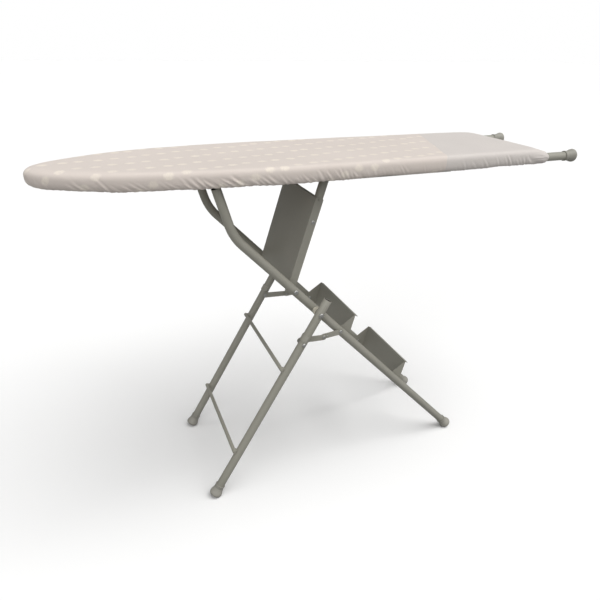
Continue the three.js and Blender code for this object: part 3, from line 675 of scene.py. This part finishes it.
def weld(name, a, b, r, body, normal, ripples=6):
    """ripple-topped weld bead from a to b"""
    a, b = np.asarray(a, float), np.asarray(b, float)
    n, m = 12, ripples * 6
    d = (b - a) / np.linalg.norm(b - a)
    u = np.asarray(normal, float)
    u = u - d * u.dot(d)
    u /= np.linalg.norm(u)
    w = np.cross(d, u)
    v, f = [], []
    ang = 2 * np.pi * np.arange(n) / n
    for i in range(m + 1):
        t = i / m
        env = math.sqrt(max(0.0, 1 - (2 * t - 1) ** 4))
        rr = r * max(0.04, env) * (1.0 + 0.13 * math.cos(2 * np.pi * ripples * t))
        v.extend(a + (b - a) * t + rr * (np.cos(ang)[:, None] * u + np.sin(ang)[:, None] * w))
    v = np.vstack([v, [a], [b]])
    for i in range(m):
        for j in range(n):
            k = (j + 1) % n
            f.append((i * n + j, i * n + k, (i + 1) * n + k, (i + 1) * n + j))
    for j in range(n):
        k = (j + 1) % n
        f.append(((m + 1) * n, k, j))
        f.append(((m + 1) * n + 1, m * n + j, m * n + k))
    return make(name, v, f, MAT_PAINT, body, (), 60.0)


# ---- ladder frame --------------------------------------------------------------
lad_cap_t = (cap_start(cA[1], cA[0]) - LADDER_FOOT[1]) / cA[1]
leg_cap_s = (cap_start(cL[1], cL[0]) - LEG_FOOT[1]) / cL[1]
up_end = (HINGE_A[0] - 8.6 * cU[0], HINGE_A[1] + 8.6 * cU[1])
for side, sg in SIDES:
    y = sg * LADDER_Y
    path = [lad_at(lad_cap_t - (CAP_BORE - 0.3))] + arc_bend() + [up_end]
    tube(f"ladder_rail_{side}", [(x, y, z) for x, z in path], (0, 1, 0), TUBE_R, MAT_PAINT, "ladder_frame", (f"ladder_tube_{side}",))
    o = lad_at(lad_cap_t)
    cap(f"ladder_cap_{side}", (o[0], y, o[1]), (cA[0], 0, -cA[1]), "ladder_frame", f"ladder_foot_{side}")
    turned(f"pivot_bolt_{side}", [(0, 111.6), (6.4, 111.6), (6.4, 115.6), (4, 115.6), (4, 173.1), (6.6, 173.1), (6.6, 173.9), (6.0, 175.1), (4.6, 176.1), (2.6, 176.7), (0, 176.8)],
           *P, sg, MAT_BRIGHT, "ladder_frame", (f"leg_pivot_bolt_{side}",), "bright_steel")
    turned(f"pivot_spacer_{side}", [(4.3, 138.4), (10.2, 138.4), (10.8, 140), (10.4, 141.2), (10.4, 147.8), (10.8, 149), (10.2, 150.6), (4.3, 150.6)],
           *P, sg, MAT_NYLON, "ladder_frame", (f"leg_pivot_spacer_{side}",), "nylon")
    turned(f"platform_bolt_{side}", [(0, 82), (6.2, 82), (6.2, 86.1), (4, 86.1), (4, 138.3), (6.5, 138.3), (6.5, 138.9), (5.8, 140.0), (4.0, 141.1), (1.9, 141.5), (0, 141.5)],
           *B, sg, MAT_BRIGHT, "ladder_frame", (f"platform_pivot_bolt_{side}",), "bright_steel")
    turned(f"platform_washer_{side}", [(4.3, 110.6), (9.5, 110.6), (9.5, 115.6), (4.3, 115.6)], *B, sg, MAT_NYLON, "ladder_frame",
           (f"platform_pivot_washer_{side}",), "nylon")
    turned(f"brace_top_pin_{side}", [(0, 129), (3, 129), (3, 141.4), (5.0, 141.4), (4.8, 142.1), (3.7, 142.9), (2.0, 143.3), (0, 143.3)],
           *R, sg, MAT_BRIGHT, "ladder_frame", (f"brace_upper_pin_{side}",), "bright_steel")
for name, t in TREADS:
    refined(name + "_sheet", name, MAT_SHEET_SHADED, "ladder_frame", bevel=0.35, fold=1.6)
    for side, sg in SIDES:
        r = lad_at(t + 27)
        turned(f"{name}_stud_{side}", [(0, 122), (2.5, 122), (2.5, 113.9), (5.0, 113.9), (4.7, 113.1), (3.4, 112.3), (1.6, 111.8), (0, 111.8)],
               *r, sg, MAT_BRIGHT, "ladder_frame", (f"{name}_rivet_{side}",), "bright_steel")

# ---- knee braces ----------------------------------------------------------------
for side, sg in SIDES:
    refined(f"brace_long_{side}", f"brace_upper_{side}", MAT_PAINT, f"upper_brace_link_{side}", bevel=0.35, fold=0)
    refined(f"brace_short_{side}", f"brace_lower_{side}", MAT_PAINT, f"lower_brace_link_{side}", bevel=0.3, fold=0,
            mats=[MAT_PAINT, MAT_BRIGHT], pick=lambda c: 1 if abs(c[1]) > 0.14605 else 0)
    turned(f"knee_stud_{side}", [(0, 139.4), (3, 139.4), (3, 141.7), (5.2, 141.7), (5.2, 143.6), (0, 143.6)], *M, sg, MAT_BRIGHT,
           f"upper_brace_link_{side}", (f"brace_knee_rivet_{side}",), "bright_steel")
    d = np.array([R[0] - M[0], R[1] - M[1]])
    d /= np.linalg.norm(d)
    turned(f"knee_stop_{side}", [(0, 140.2), (2.9, 140.2), (2.9, 142.2), (2.6, 143.0), (1.6, 143.6), (0, 143.7)], M[0] + d[0] * 11.0, M[1] + d[1] * 11.0, sg,
           MAT_BRIGHT, f"upper_brace_link_{side}", (), "bright_steel")

# ---- leg frame ------------------------------------------------------------------
for side, sg in SIDES:
    y = sg * LEG_Y
    a, b = leg_at(leg_cap_s - (CAP_BORE - 0.3)), leg_at(LEG_TOP_S)
    mid = [leg_at(s) for s in np.linspace(60, 560, 6)]
    tube(f"leg_rail_{side}", [(x, y, z) for x, z in [a] + mid + [b]], (0, 1, 0), TUBE_R, MAT_PAINT, "leg_frame", (f"leg_tube_{side}",))
    o = leg_at(leg_cap_s)
    cap(f"leg_cap_{side}", (o[0], y, o[1]), (-cL[0], 0, -cL[1]), "leg_frame", f"leg_foot_{side}")
    turned(f"brace_low_pin_{side}", [(0, 142.4), (5.4, 142.5), (5.4, 143.7), (3.5, 143.7), (3.5, 146.3), (6.4, 146.3), (6.4, 150.7), (3.5, 150.7), (3.5, 173.0),
                                     (5.3, 173.0), (5.2, 173.8), (4.3, 174.9), (2.5, 175.8), (0, 175.9)],
           *Q, sg, MAT_BRIGHT, "leg_frame", (f"brace_lower_pin_{side}",), "bright_steel")
    refined(f"clip_{side}", f"brace_clip_{side}", MAT_PAINT, "leg_frame", bevel=0.3, fold=0)
for name, s in BARS:
    c = leg_at(s, BAR_OFFSET)
    e = LEG_Y + 5
    rod(name + "_bar", [(c[0], -e, c[1]), (c[0], 0, c[1]), (c[0], e, c[1])], (1, 0, 0), BAR_R, MAT_PAINT, "leg_frame", (name,), end=0.8)
    for side, sg in SIDES:
        for k, ds in (("a", -1), ("b", 1)):
            q = leg_at(s + ds * 4.4, BAR_OFFSET - 4.3)
            weld(f"weld_{name[4:]}_{side}_{k}", (q[0], sg * (LEG_Y - 7.5), q[1]), (q[0], sg * (LEG_Y + 5.5), q[1]), 2.1, "leg_frame", (-cL[1], 0, cL[0]))

# ---- platform and strut ----------------------------------------------------------
for side, sg in SIDES:
    pts = [strut_at(-14), strut_at(60), strut_at(140), strut_at(220), strut_at(STRUT_L + 12)]
    tube(f"strut_rail_{side}", [(x, sg * STRUT_Y, z) for x, z in pts], (0, 1, 0), TUBE_R, MAT_PAINT, "platform_strut", (f"strut_tube_{side}",))
    h = strut_at(175)
    turned(f"platform_stud_{side}", [(0, 104), (2.4, 104), (2.4, 110.4), (4.9, 110.4), (4.7, 111.1), (3.4, 111.8), (1.4, 112.2), (0, 112.2)],
           *h, sg, MAT_BRIGHT, "platform_strut", (f"platform_rivet_{side}",), "bright_steel")
refined("platform_sheet", "platform", MAT_SHEET_SHADED, "platform_strut", bevel=0.35, fold=1.6)
rod("strut_cross_rod", [(T[0], -113.4, T[1]), (T[0], 0, T[1]), (T[0], 113.4, T[1])], (1, 0, 0), ROD_R, MAT_BRIGHT, "platform_strut", ("strut_top_rod",), end=1.2)

# ---- board metalwork --------------------------------------------------------------
def outline_loop(n):
    """the board's outline as n even points, anticlockwise from above, from the nose down the near side"""
    half = np.array(OUTLINE, float)
    near = half * [1, -1]
    far = half[::-1][1:-1]
    loop = np.vstack([near, far])
    m = len(loop)
    fine = []
    for i in range(m):
        a, b, c, d = loop[(i - 1) % m], loop[i], loop[(i + 1) % m], loop[(i + 2) % m]
        # centripetal Catmull-Rom, so that long and short spans meet without a kink
        ta = 0.0
        tb = ta + np.linalg.norm(b - a) ** 0.5
        tc = tb + np.linalg.norm(c - b) ** 0.5
        td = tc + np.linalg.norm(d - c) ** 0.5
        t = np.linspace(tb, tc, 80, endpoint=False)[:, None]
        a1 = (tb - t) / (tb - ta) * a + (t - ta) / (tb - ta) * b
        a2 = (tc - t) / (tc - tb) * b + (t - tb) / (tc - tb) * c
        a3 = (td - t) / (td - tc) * c + (t - tc) / (td - tc) * d
        b1 = (tc - t) / (tc - ta) * a1 + (t - ta) / (tc - ta) * a2
        b2 = (td - t) / (td - tb) * a2 + (t - tb) / (td - tb) * a3
        fine.append((tc - t) / (tc - tb) * b1 + (t - tb) / (tc - tb) * b2)
    fine = np.vstack(fine)
    closed = np.vstack([fine, fine[:1]])
    s = np.concatenate([[0], np.cumsum(np.linalg.norm(np.diff(closed, axis=0), axis=1))])
    w = np.linspace(0, s[-1], n, endpoint=False)
    p = np.stack([np.interp(w, s, closed[:, k]) for k in range(2)], 1)
    d = np.roll(p, -1, 0) - np.roll(p, 1, 0)
    for _ in range(3):
        d = (np.roll(d, 1, 0) + 2 * d + np.roll(d, -1, 0)) / 4
    d /= np.linalg.norm(d, axis=1)[:, None]
    return p, np.stack([d[:, 1], -d[:, 0]], 1), w, s[-1]


def frame_path():
    p, nrm, _, _ = outline_loop(900)
    q = p - nrm * 15.6
    q = q[q[:, 0] < 70]
    q = np.array(sorted(q.tolist(), key=lambda v: -math.atan2(v[1], -(v[0] - 80))))
    q[:, 1] = np.clip(q[:, 1], -FRAME_Y, FRAME_Y)
    q = q[::6]
    for _ in range(4):
        q[1:-1] = (q[:-2] + 2 * q[1:-1] + q[2:]) / 4
    q[:, 1] = np.clip(q[:, 1], -FRAME_Y, FRAME_Y)
    end = TAIL_CAP_X + CAP_BORE - 0.3
    straight = lambda y, xs: [(x, y, FRAME_Z) for x in xs]
    xs = [end, 900, 700, 500, 300, 160, 110]
    first, last = q[0], q[-1]
    return straight(math.copysign(FRAME_Y, first[1]), xs) + [(x, y, FRAME_Z) for x, y in q] + straight(math.copysign(FRAME_Y, last[1]), xs[::-1])


tube("frame_rail", frame_path(), (0, 0, 1), TUBE_R, MAT_PAINT, "board", ("board_frame_tube",), n=36)
for side, sg in SIDES:
    cap(f"tail_cap_{side}", (TAIL_CAP_X, sg * FRAME_Y, FRAME_Z), (1, 0, 0), "board", f"tail_foot_{side}")
    refined(f"hinge_plate_{side}", f"hinge_bracket_{side}", MAT_PAINT, "board", bevel=0.3, fold=0)
    refined(f"guide_channel_{side}", f"slide_track_{side}", MAT_PAINT, "board", bevel=0.3, fold=0)
    y0 = LADDER_Y - TUBE_R - 4
    turned(f"hinge_rivet_{side}", [(0, y0 - 3), (3.5, y0 - 3), (5.6, y0 - 2.3), (6, y0 - 1.4), (6, y0 - 0.3), (4, y0 - 0.3), (4, 134.6), (3.3, 135.4), (0, 135.4)],
           *HINGE_A, sg, MAT_BRIGHT, "board", (f"hinge_pin_{side}",), "bright_steel")
for k in ("nose", "middle", "tail"):
    refined(f"rail_{k}", f"cross_rail_{k}", MAT_PAINT, "board", bevel=0.4, fold=0.9)
for k, x in (("nose", -150), ("middle", 185), ("tail", 705)):
    for side, sg in SIDES:
        yy = sg * (92 if k == "nose" else 133.6)
        for j, dx in (("a", -9), ("b", 9)):
            weld(f"weld_rail_{k}_{side}_{j}", (x + dx, yy - sg * 0.5, 861.0), (x + dx, yy - sg * 0.5, 870.0), 1.7, "board", (0, sg, 0), 5)
refined("panel", "board_panel", MAT_PANEL, "board", bevel=0.5, fold=0)


# ---- pad under the cover -----------------------------------------------------------
def smoothstep(v):
    c = np.clip(v, 0.0, 1.0)
    return c * c * (3 - 2 * c)


def spread(x, z):
    """how much wider the rounding of the edge is at the nose and the tail"""
    return 1 + (0.45 if z < 866.4 else 1.35) * (1 - smoothstep((x + 330) / 260.0)) + 0.35 * smoothstep((x - 840) / 60.0)


def drop(x, z):
    return 2.5 * (1 - smoothstep((x + 330) / 260.0)) * max(0.0, (866.5 - z) / 20.5)


def ring_at(p, nrm, d, z, c=0.0):
    xy = p - nrm * (d * spread(p[:, 0], z) + c)[:, None]
    return np.column_stack([xy, z - drop(p[:, 0], z)])


def disc_rows(p, nrm, levels, inner):
    """rings from the middle line out to the first level, then the given [inset, z, plain inset] levels"""
    base = ring_at(p, nrm, *levels[0])
    spine = np.stack([np.clip(base[:, 0], -190, 745), np.zeros(len(p))], 1)
    rows_ = []
    for s in inner:
        rows_.append(np.column_stack([spine + (base[:, :2] - spine) * s, np.full(len(p), levels[0][1])]))
    return rows_ + [ring_at(p, nrm, *k) for k in levels[1:]]


def grid_faces(n, rows_):
    f = []
    for i in range(rows_ - 1):
        a = i * n
        for j in range(n):
            k = (j + 1) % n
            f.append((a + j, a + k, a + n + k, a + n + j))
    return f


def build_pad():
    n = 420
    p, nrm, w, total = outline_loop(n)
    up = [(11.6, 882.5, 4), (10.6, 882.2, 3.4), (9.2, 881.5, 2.8), (7.6, 880.4, 2.2), (6.2, 879.3, 1.9), (5.3, 878.1, 1.7), (5.0, 877.3, 1.6), (5.2, 876.9, 1.8)]
    low = [(11.6, 876.8, 4), (6.4, 876.8, 2.4)]
    top = disc_rows(p, nrm, up, np.linspace(0.0, 1.0, 12))
    under = disc_rows(p, nrm, low, np.linspace(0.0, 1.0, 5))
    # quilting lines keep the felted face from sliding
    for i, r_ in enumerate(top[:12]):
        r_[:, 2] += 0.22 * np.sin(r_[:, 0] / 17.0) * np.sin(r_[:, 1] / 17.0)
    v = np.vstack(top + under[::-1])
    f = grid_faces(n, len(top) + len(under))
    me = bpy.data.meshes.new("felt_pad")
    me.from_pydata([tuple(q) for q in row(v)], [], f)
    bm = bmesh.new()
    bm.from_mesh(me)
    bmesh.ops.remove_doubles(bm, verts=bm.verts, dist=1e-6)
    bmesh.ops.recalc_face_normals(bm, faces=bm.faces)
    bm.to_mesh(me)
    bm.free()
    o = wrap("felt_pad", me, MAT_FOAM, "board", ("foam_pad",), 60.0)
    return o


pad = build_pad()

# ---- fabric cover -------------------------------------------------------------------
N_COVER = 1440
# the section as a finer curve, then the casing of the hem turned in under the board
FINE = smooth_curve(SECTION, 27)
SKIRT = [(float(a), float(b), 0.0) for a, b in FINE]
SKIRT += [(8.3, 845.75, 2.0), (8.3, 845.65, 4.4), (8.3, 845.9, 6.6), (8.3, 846.8, 8.0), (8.3, 847.7, 8.3), (8.3, 848.7, 7.6), (8.3, 849.1, 6.0), (8.3, 849.0, 3.5)]
EDGE_ROW = 26  # the last ring of the section


def strokes(rng, total, zones, base_gap, base_amp):
    out = []
    s = 0.0
    while s < total:
        z = next((z for z in zones if z[0] <= s < z[1]), None)
        gap, amp, lean = (z[2], z[3], z[4]) if z else (base_gap, base_amp, rng.uniform(-30, 50))
        s += gap * rng.uniform(0.6, 1.45)
        out.append((s, rng.uniform(-9, 3), rng.uniform(19, 42) * (1.15 if z else 0.9), amp * rng.uniform(0.5, 1.25),
                    rng.uniform(1.9, 3.3), rad(lean + rng.uniform(-10, 10))))
    return out


def funnel(v, m, n):
    """the corner of the cloth drawn out along each frame tube into a gathered sleeve"""
    gone = np.zeros((m, n), bool)
    for sg in (-1, 1):
        x, y, z = v[:, :, 0].copy(), v[:, :, 1] - sg * FRAME_Y, v[:, :, 2] - FRAME_Z
        r = np.hypot(y, z)
        inside = (r < 12.0) & (x > 872)
        wx = smoothstep((x - 871) / 20.0)
        t = np.clip((r - 12.0) / 13.0, 0, 1)
        pull = (1 - t) ** 1.2 * wx
        end = 940.5 + 1.1 * np.sin(3.0 * np.arctan2(z, y) + sg)
        nx = x + (end - x).clip(0) * pull
        rr = 12.0 + (r - 12.0) * (1 - 0.5 * pull) + 2.6 * pull * (1 - pull**7)
        # gathers run along the tube and die out where the cloth opens into the skirt
        a = np.arctan2(z, y)
        gather = np.sin(15 * a + 0.8 * sg + 0.03 * nx) + 0.6 * np.sin(23 * a + 2.0) + 0.5 * np.sin(9 * a + 1.0)
        rr = rr + 0.62 * gather * np.clip(pull * 2.2, 0, 1) * np.clip((1.12 - pull) * 2.0, 0.12, 1)
        rr = np.maximum(rr, 11.55)
        k = np.where(r > 1e-6, rr / np.maximum(r, 1e-6), 1.0)
        on = (wx > 0) & ((pull > 1e-4) | inside)
        v[:, :, 0] = np.where(on, np.where(inside, end, nx), v[:, :, 0])
        v[:, :, 1] = np.where(on, sg * FRAME_Y + y * np.where(inside, 11.7 / np.maximum(r, 1e-6), k), v[:, :, 1])
        v[:, :, 2] = np.where(on, FRAME_Z + z * np.where(inside, 11.7 / np.maximum(r, 1e-6), k), v[:, :, 2])
        gone |= inside
    return gone


def build_cover():
    n = N_COVER
    p, nrm, w, total = outline_loop(n)
    rng = np.random.default_rng(41)
    n_top = 20
    rows_ = disc_rows(p, nrm, SKIRT, np.linspace(0.0, 1.0, n_top + 1))
    m = len(rows_)
    v = np.stack(rows_)  # rows x n x 3
    edge = n_top + EDGE_ROW
    # distance down the cloth from the start of the rounding, and the flat-cut position of every point
    seg = np.linalg.norm(np.diff(v[n_top:], axis=0), axis=2)
    step = np.vstack([np.zeros((1, n)), np.cumsum(seg, axis=0)])
    flat = v.copy()
    first = 14.0 * spread(p[:, 0], 884.5)
    for i in range(n_top, m):
        flat[i, :, :2] = p - nrm * (first - step[i - n_top])[:, None]
    flat[:, :, 2] = 0.0
    h = np.full((m, n), -20.0)
    h[n_top:] = step - 4.0 * spread(p[:, 0], 884.5)
    up = np.full((m, n), 60.0)  # distance above the lower edge
    up[n_top:] = step[EDGE_ROW] - step

    def at_x(xx, near_side=True):
        q = p[:, 1] < 0 if near_side else p[:, 1] > 0
        i = np.where(q)[0]
        return w[i[np.argmin(np.abs(p[i, 0] - xx))]]

    zones = []
    for x0, x1, gap, amp, lean in ((-318, -250, 15, 1.0, 46), (-250, -120, 14, 1.7, 50), (-120, -60, 24, 0.8, 48), (-60, -20, 16, 1.2, 50), (-20, 100, 10.5, 2.3, 52), (100, 210, 14.0, 1.4, 50),
                                  (210, 270, 12, 1.6, 44), (270, 370, 10, 2.0, 34), (370, 500, 20, 0.8, 34), (500, 640, 34, 0.5, 30), (640, 780, 22, 0.8, 34), (780, 830, 13, 1.3, 34), (830, 900, 8.0, 1.8, 32)):
        zones.append((at_x(x0), at_x(x1), gap, amp, lean))
    for x0, x1, gap, amp, lean in ((800, 900, 6.0, 1.6, -28), (350, 500, 15, 0.8, -30), (40, 160, 8, 1.4, -42), (-200, -90, 9, 1.2, -40)):
        a, b = at_x(x0, False), at_x(x1, False)
        zones.append((min(a, b), max(a, b), gap, amp, lean))
    zones.sort()
    disp = np.zeros((m - n_top, n))
    hr = -up[n_top:]
    for s0, h0, length, amp, sig, lean in strokes(rng, total, zones, 26.0, 0.6):
        ds, dh = -math.sin(lean), -math.cos(lean)
        a = (s0 - w + total / 2) % total - total / 2  # wrapped distance along the edge
        cols = np.where(np.abs(a) < 70)[0]
        if not len(cols):
            continue
        rel = -a[cols][None, :]
        down = hr[:, cols] - h0
        along = rel * ds + down * dh
        across = -rel * dh + down * ds
        t = along / length
        env = np.where(t < 0, np.exp(-((t / 0.5) ** 2)), np.clip(1 - t, 0, 1) ** 1.3 * (1 + 0.9 * t))
        ridge = np.exp(-((across / sig) ** 2)) - 0.75 * np.exp(-(((across - 1.75 * sig) / sig) ** 2)) - 0.2 * np.exp(-(((across + 1.9 * sig) / sig) ** 2))
        disp[:, cols] += amp * env * ridge
    # fade out over the rounded edge, so that the top stays taut; keep clear of the frame inside
    disp *= np.clip((h[n_top:] + 2) / 18.0, 0, 1) ** 0.8
    disp *= 0.5 + 0.5 * np.clip(up[n_top:] / 9.0, 0, 1)
    disp = np.where(disp < 0, 1.1 * np.tanh(disp / 1.1), 2.4 * np.tanh(disp / 2.4))
    # gathers of the casing under the board, all the way round
    ph = np.cumsum(rng.normal(0, 0.14, n))
    ph -= np.linspace(0, ph[-1] - ph[0], n)
    pitch = 2 * np.pi * round(total / 8.6) / total
    wave = np.sin(w * pitch + 2.4 * np.sin(w / 37.0) + ph) + 0.45 * np.sin(w * pitch * 1.9 + ph * 1.7)
    disp += wave * 0.5 * np.clip((1 - up[n_top:]) / 7.0, 0, 1)
    # surface direction from the rings themselves: across the cloth, pointing out of the board
    tang = np.gradient(v[n_top:], axis=0)
    inset = -(tang[:, :, 0] * nrm[:, 0] + tang[:, :, 1] * nrm[:, 1])
    tz = tang[:, :, 2]
    ln = np.hypot(inset, tz) + 1e-9
    out_xy, out_z = -tz / ln, -inset / ln  # outwards component and height component
    v[n_top:, :, 0] += nrm[:, 0] * out_xy * disp
    v[n_top:, :, 1] += nrm[:, 1] * out_xy * disp
    v[n_top:, :, 2] += out_z * disp
    # slow sag and lift of the whole hem
    low = 0.9 * np.sin(w / 61.0 + 0.6) + 0.7 * np.sin(w / 27.0 + 2.1) + 0.5 * np.sin(w / 13.0)
    q = np.clip((28 - up) / 28.0, 0, 1)
    v[:, :, 2] += 0.75 * low * q
    # soft, barely visible unevenness of the padded top
    xx, yy = v[:, :, 0], v[:, :, 1]
    soft = 0.28 * np.sin(xx / 47.0 + 1.3) * np.sin(yy / 39.0 + 0.4) + 0.2 * np.sin(xx / 23.0 + yy / 31.0) + 0.12 * np.sin(xx / 13.0 - yy / 17.0)
    v[:, :, 2] += soft * np.clip(1 - (h + 20) / 40.0, 0, 1)
    # seam between the two cloths: a low step that follows the slanted line
    past = (flat[:, :, 0] - CENTRE_X) / 1000.0 - 0.5 * (SEAM_A[0] + SEAM_B[0]) - np.clip(flat[:, :, 1] / 1000.0, -0.172, 0.172) * (SEAM_B[0] - SEAM_A[0]) / (SEAM_B[1] - SEAM_A[1])
    v[:, :, 2] += 0.35 * np.exp(-(((past * 1000.0 - 2.0) / 3.2) ** 2)) * (h < 0)
    gone = funnel(v, m, n)
    return v, flat, gone, p, nrm, w


def cover_mesh(v, flat, gone):
    m, n, _ = v.shape
    verts = row(v.reshape(-1, 3))
    f = []
    for i in range(m - 1):
        base = i * n
        for j in range(n):
            k = (j + 1) % n
            if gone[i, j] and gone[i, k] and gone[i + 1, j] and gone[i + 1, k]:
                continue
            f.append((base + j, base + k, base + n + k, base + n + j))
    me = bpy.data.meshes.new("fabric_cover")
    me.from_pydata([tuple(q) for q in verts], [], f)
    at = me.attributes.new("flat", "FLOAT_VECTOR", "POINT")
    fl = row(flat.reshape(-1, 3))
    fl[:, 2] = 0.0
    at.data.foreach_set("vector", fl.astype(np.float32).ravel())
    bm = bmesh.new()
    bm.from_mesh(me)
    bmesh.ops.remove_doubles(bm, verts=bm.verts, dist=2e-6)
    loose = [x for x in bm.verts if not x.link_faces]
    bmesh.ops.delete(bm, geom=loose, context="VERTS")
    bmesh.ops.recalc_face_normals(bm, faces=bm.faces)
    up = max(bm.faces, key=lambda q: q.calc_center_median().z)
    if up.normal.z < 0:
        bmesh.ops.reverse_faces(bm, faces=bm.faces)
    bm.to_mesh(me)
    bm.free()
    return me


v, flat, gone, p, nrm, w = build_cover()
cover = wrap("fabric_cover", cover_mesh(v, flat, gone), MAT_COVER, "board", ("cover",), 75.0)
thick = cover.modifiers.new("thickness", "SOLIDIFY")
thick.thickness = 0.0007
thick.offset = -1.0
thick.use_even_offset = False

# elastic cord in the hem casing, open at the tail
cord = ring_at(p, nrm, 8.3, 847.4, 6.2)
start = int(np.argmax([q[0] if q[1] > 0 else -1e9 for q in cord]))
order = [(start + i) % len(cord) for i in range(len(cord))]
cordline = [tuple(cord[i]) for i in order if cord[i][0] < 866]
# begin at the far tail end of the cord and end at the near one
gap = max(range(len(cordline)), key=lambda i: math.dist(cordline[i], cordline[i - 1]))
cordline = (cordline[gap:] + cordline[:gap])[::6]
hem = rod("hem_cord", cordline, (0, 0, 1), 1.0, MAT_ELASTIC, "board", ("hem_elastic",), n=12, end=0.5)


# ---- camera, light and floor --------------------------------------------------------
def look():
    yaw, pitch, roll = rad(21.839), rad(25.828), rad(1.038)
    fwd = Vector((math.sin(yaw) * math.cos(pitch), math.cos(yaw) * math.cos(pitch), -math.sin(pitch)))
    right = Vector((math.cos(yaw), -math.sin(yaw), 0.0))
    up = right.cross(fwd)
    r2 = math.cos(roll) * right + math.sin(roll) * up
    u2 = -math.sin(roll) * right + math.cos(roll) * up
    m = Matrix(((r2.x, u2.x, -fwd.x, 0), (r2.y, u2.y, -fwd.y, 0), (r2.z, u2.z, -fwd.z, 0), (0, 0, 0, 1)))
    m.translation = Vector((-0.561039, -1.266509, 1.133886))
    return m


cam = bpy.data.cameras.new("camera")
cam.sensor_width = 36.0
cam.lens = 32.394
cam.clip_start, cam.clip_end = 0.05, 60.0
cam_obj = bpy.data.objects.new("camera", cam)
bpy.context.scene.collection.objects.link(cam_obj)
cam_obj.matrix_world = look()
bpy.context.scene.camera = cam_obj


def floor():
    n, size = 48, 30.0
    v, f = [], []
    for i in range(n + 1):
        for j in range(n + 1):
            v.append(((i / n - 0.5) * 2 * size, (j / n - 0.5) * 2 * size, -0.0002))
    for i in range(n):
        for j in range(n):
            a = i * (n + 1) + j
            f.append((a, a + n + 1, a + n + 2, a + 1))
    me = bpy.data.meshes.new("floor")
    me.from_pydata(v, [], f)
    m = Mat("floor_matt")
    c = m.ramp(m.noise(1.2, 3.0), [(0.3, (0.965, 0.965, 0.965, 1)), (0.7, (0.98, 0.98, 0.98, 1))])
    ray = m.node("ShaderNodeLightPath")
    c = m.mix(ray.outputs["Is Camera Ray"], (0.31, 0.31, 0.308, 1.0), c)
    me.materials.append(m.finish(c, m.math("ADD", m.math("MULTIPLY", m.noise(60.0), 0.05), 0.9), m.bump(m.noise(240.0), 0.0001, 0.2), IOR=1.3))
    o = bpy.data.objects.new("floor", me)
    bpy.context.scene.collection.objects.link(o)


floor()


def sun(name, direction, strength, angle, colour=(1, 1, 1)):
    l = bpy.data.lights.new(name, "SUN")
    l.energy = strength
    l.angle = rad(angle)
    l.color = colour
    o = bpy.data.objects.new(name, l)
    bpy.context.scene.collection.objects.link(o)
    o.rotation_mode = "QUATERNION"
    o.rotation_quaternion = Vector(direction).to_track_quat("-Z", "Y")
    return o


# direction is the way the light travels
sun("key", (-0.30, 0.26, -1.0), 2.10, 55.0, (1.0, 0.997, 0.99))
sun("front", (0.44, 0.74, -0.52), 0.64, 50.0, (1.0, 1.0, 1.0))
sun("side", (-0.9, 0.55, -0.75), 0.55, 60.0, (0.99, 1.0, 1.0))
sun("left", (0.90, 0.25, -0.45), 0.34, 60.0, (1.0, 1.0, 0.99))

world = bpy.data.worlds.new("studio")
bpy.context.scene.world = world
world.use_nodes = True
wt = world.node_tree
bg = next(n for n in wt.nodes if n.type == "BACKGROUND")
out = next(n for n in wt.nodes if n.type == "OUTPUT_WORLD")
bg.inputs["Color"].default_value = (1.0, 1.0, 1.0, 1.0)
bg.inputs["Strength"].default_value = 0.20
back = wt.nodes.new("ShaderNodeBackground")
back.inputs["Color"].default_value = (1.0, 1.0, 1.0, 1.0)
back.inputs["Strength"].default_value = 1.0
lp = wt.nodes.new("ShaderNodeLightPath")
mixw = wt.nodes.new("ShaderNodeMixShader")
wt.links.new(lp.outputs["Is Camera Ray"], mixw.inputs[0])
wt.links.new(bg.outputs[0], mixw.inputs[1])
wt.links.new(back.outputs[0], mixw.inputs[2])
wt.links.new(mixw.outputs[0], out.inputs[0])

scene = bpy.context.scene
scene.view_settings.view_transform = "Standard"
scene.view_settings.look = "None"
scene.view_settings.exposure = 0.0
scene.view_settings.gamma = 1.0

bpy.context.view_layer.update()
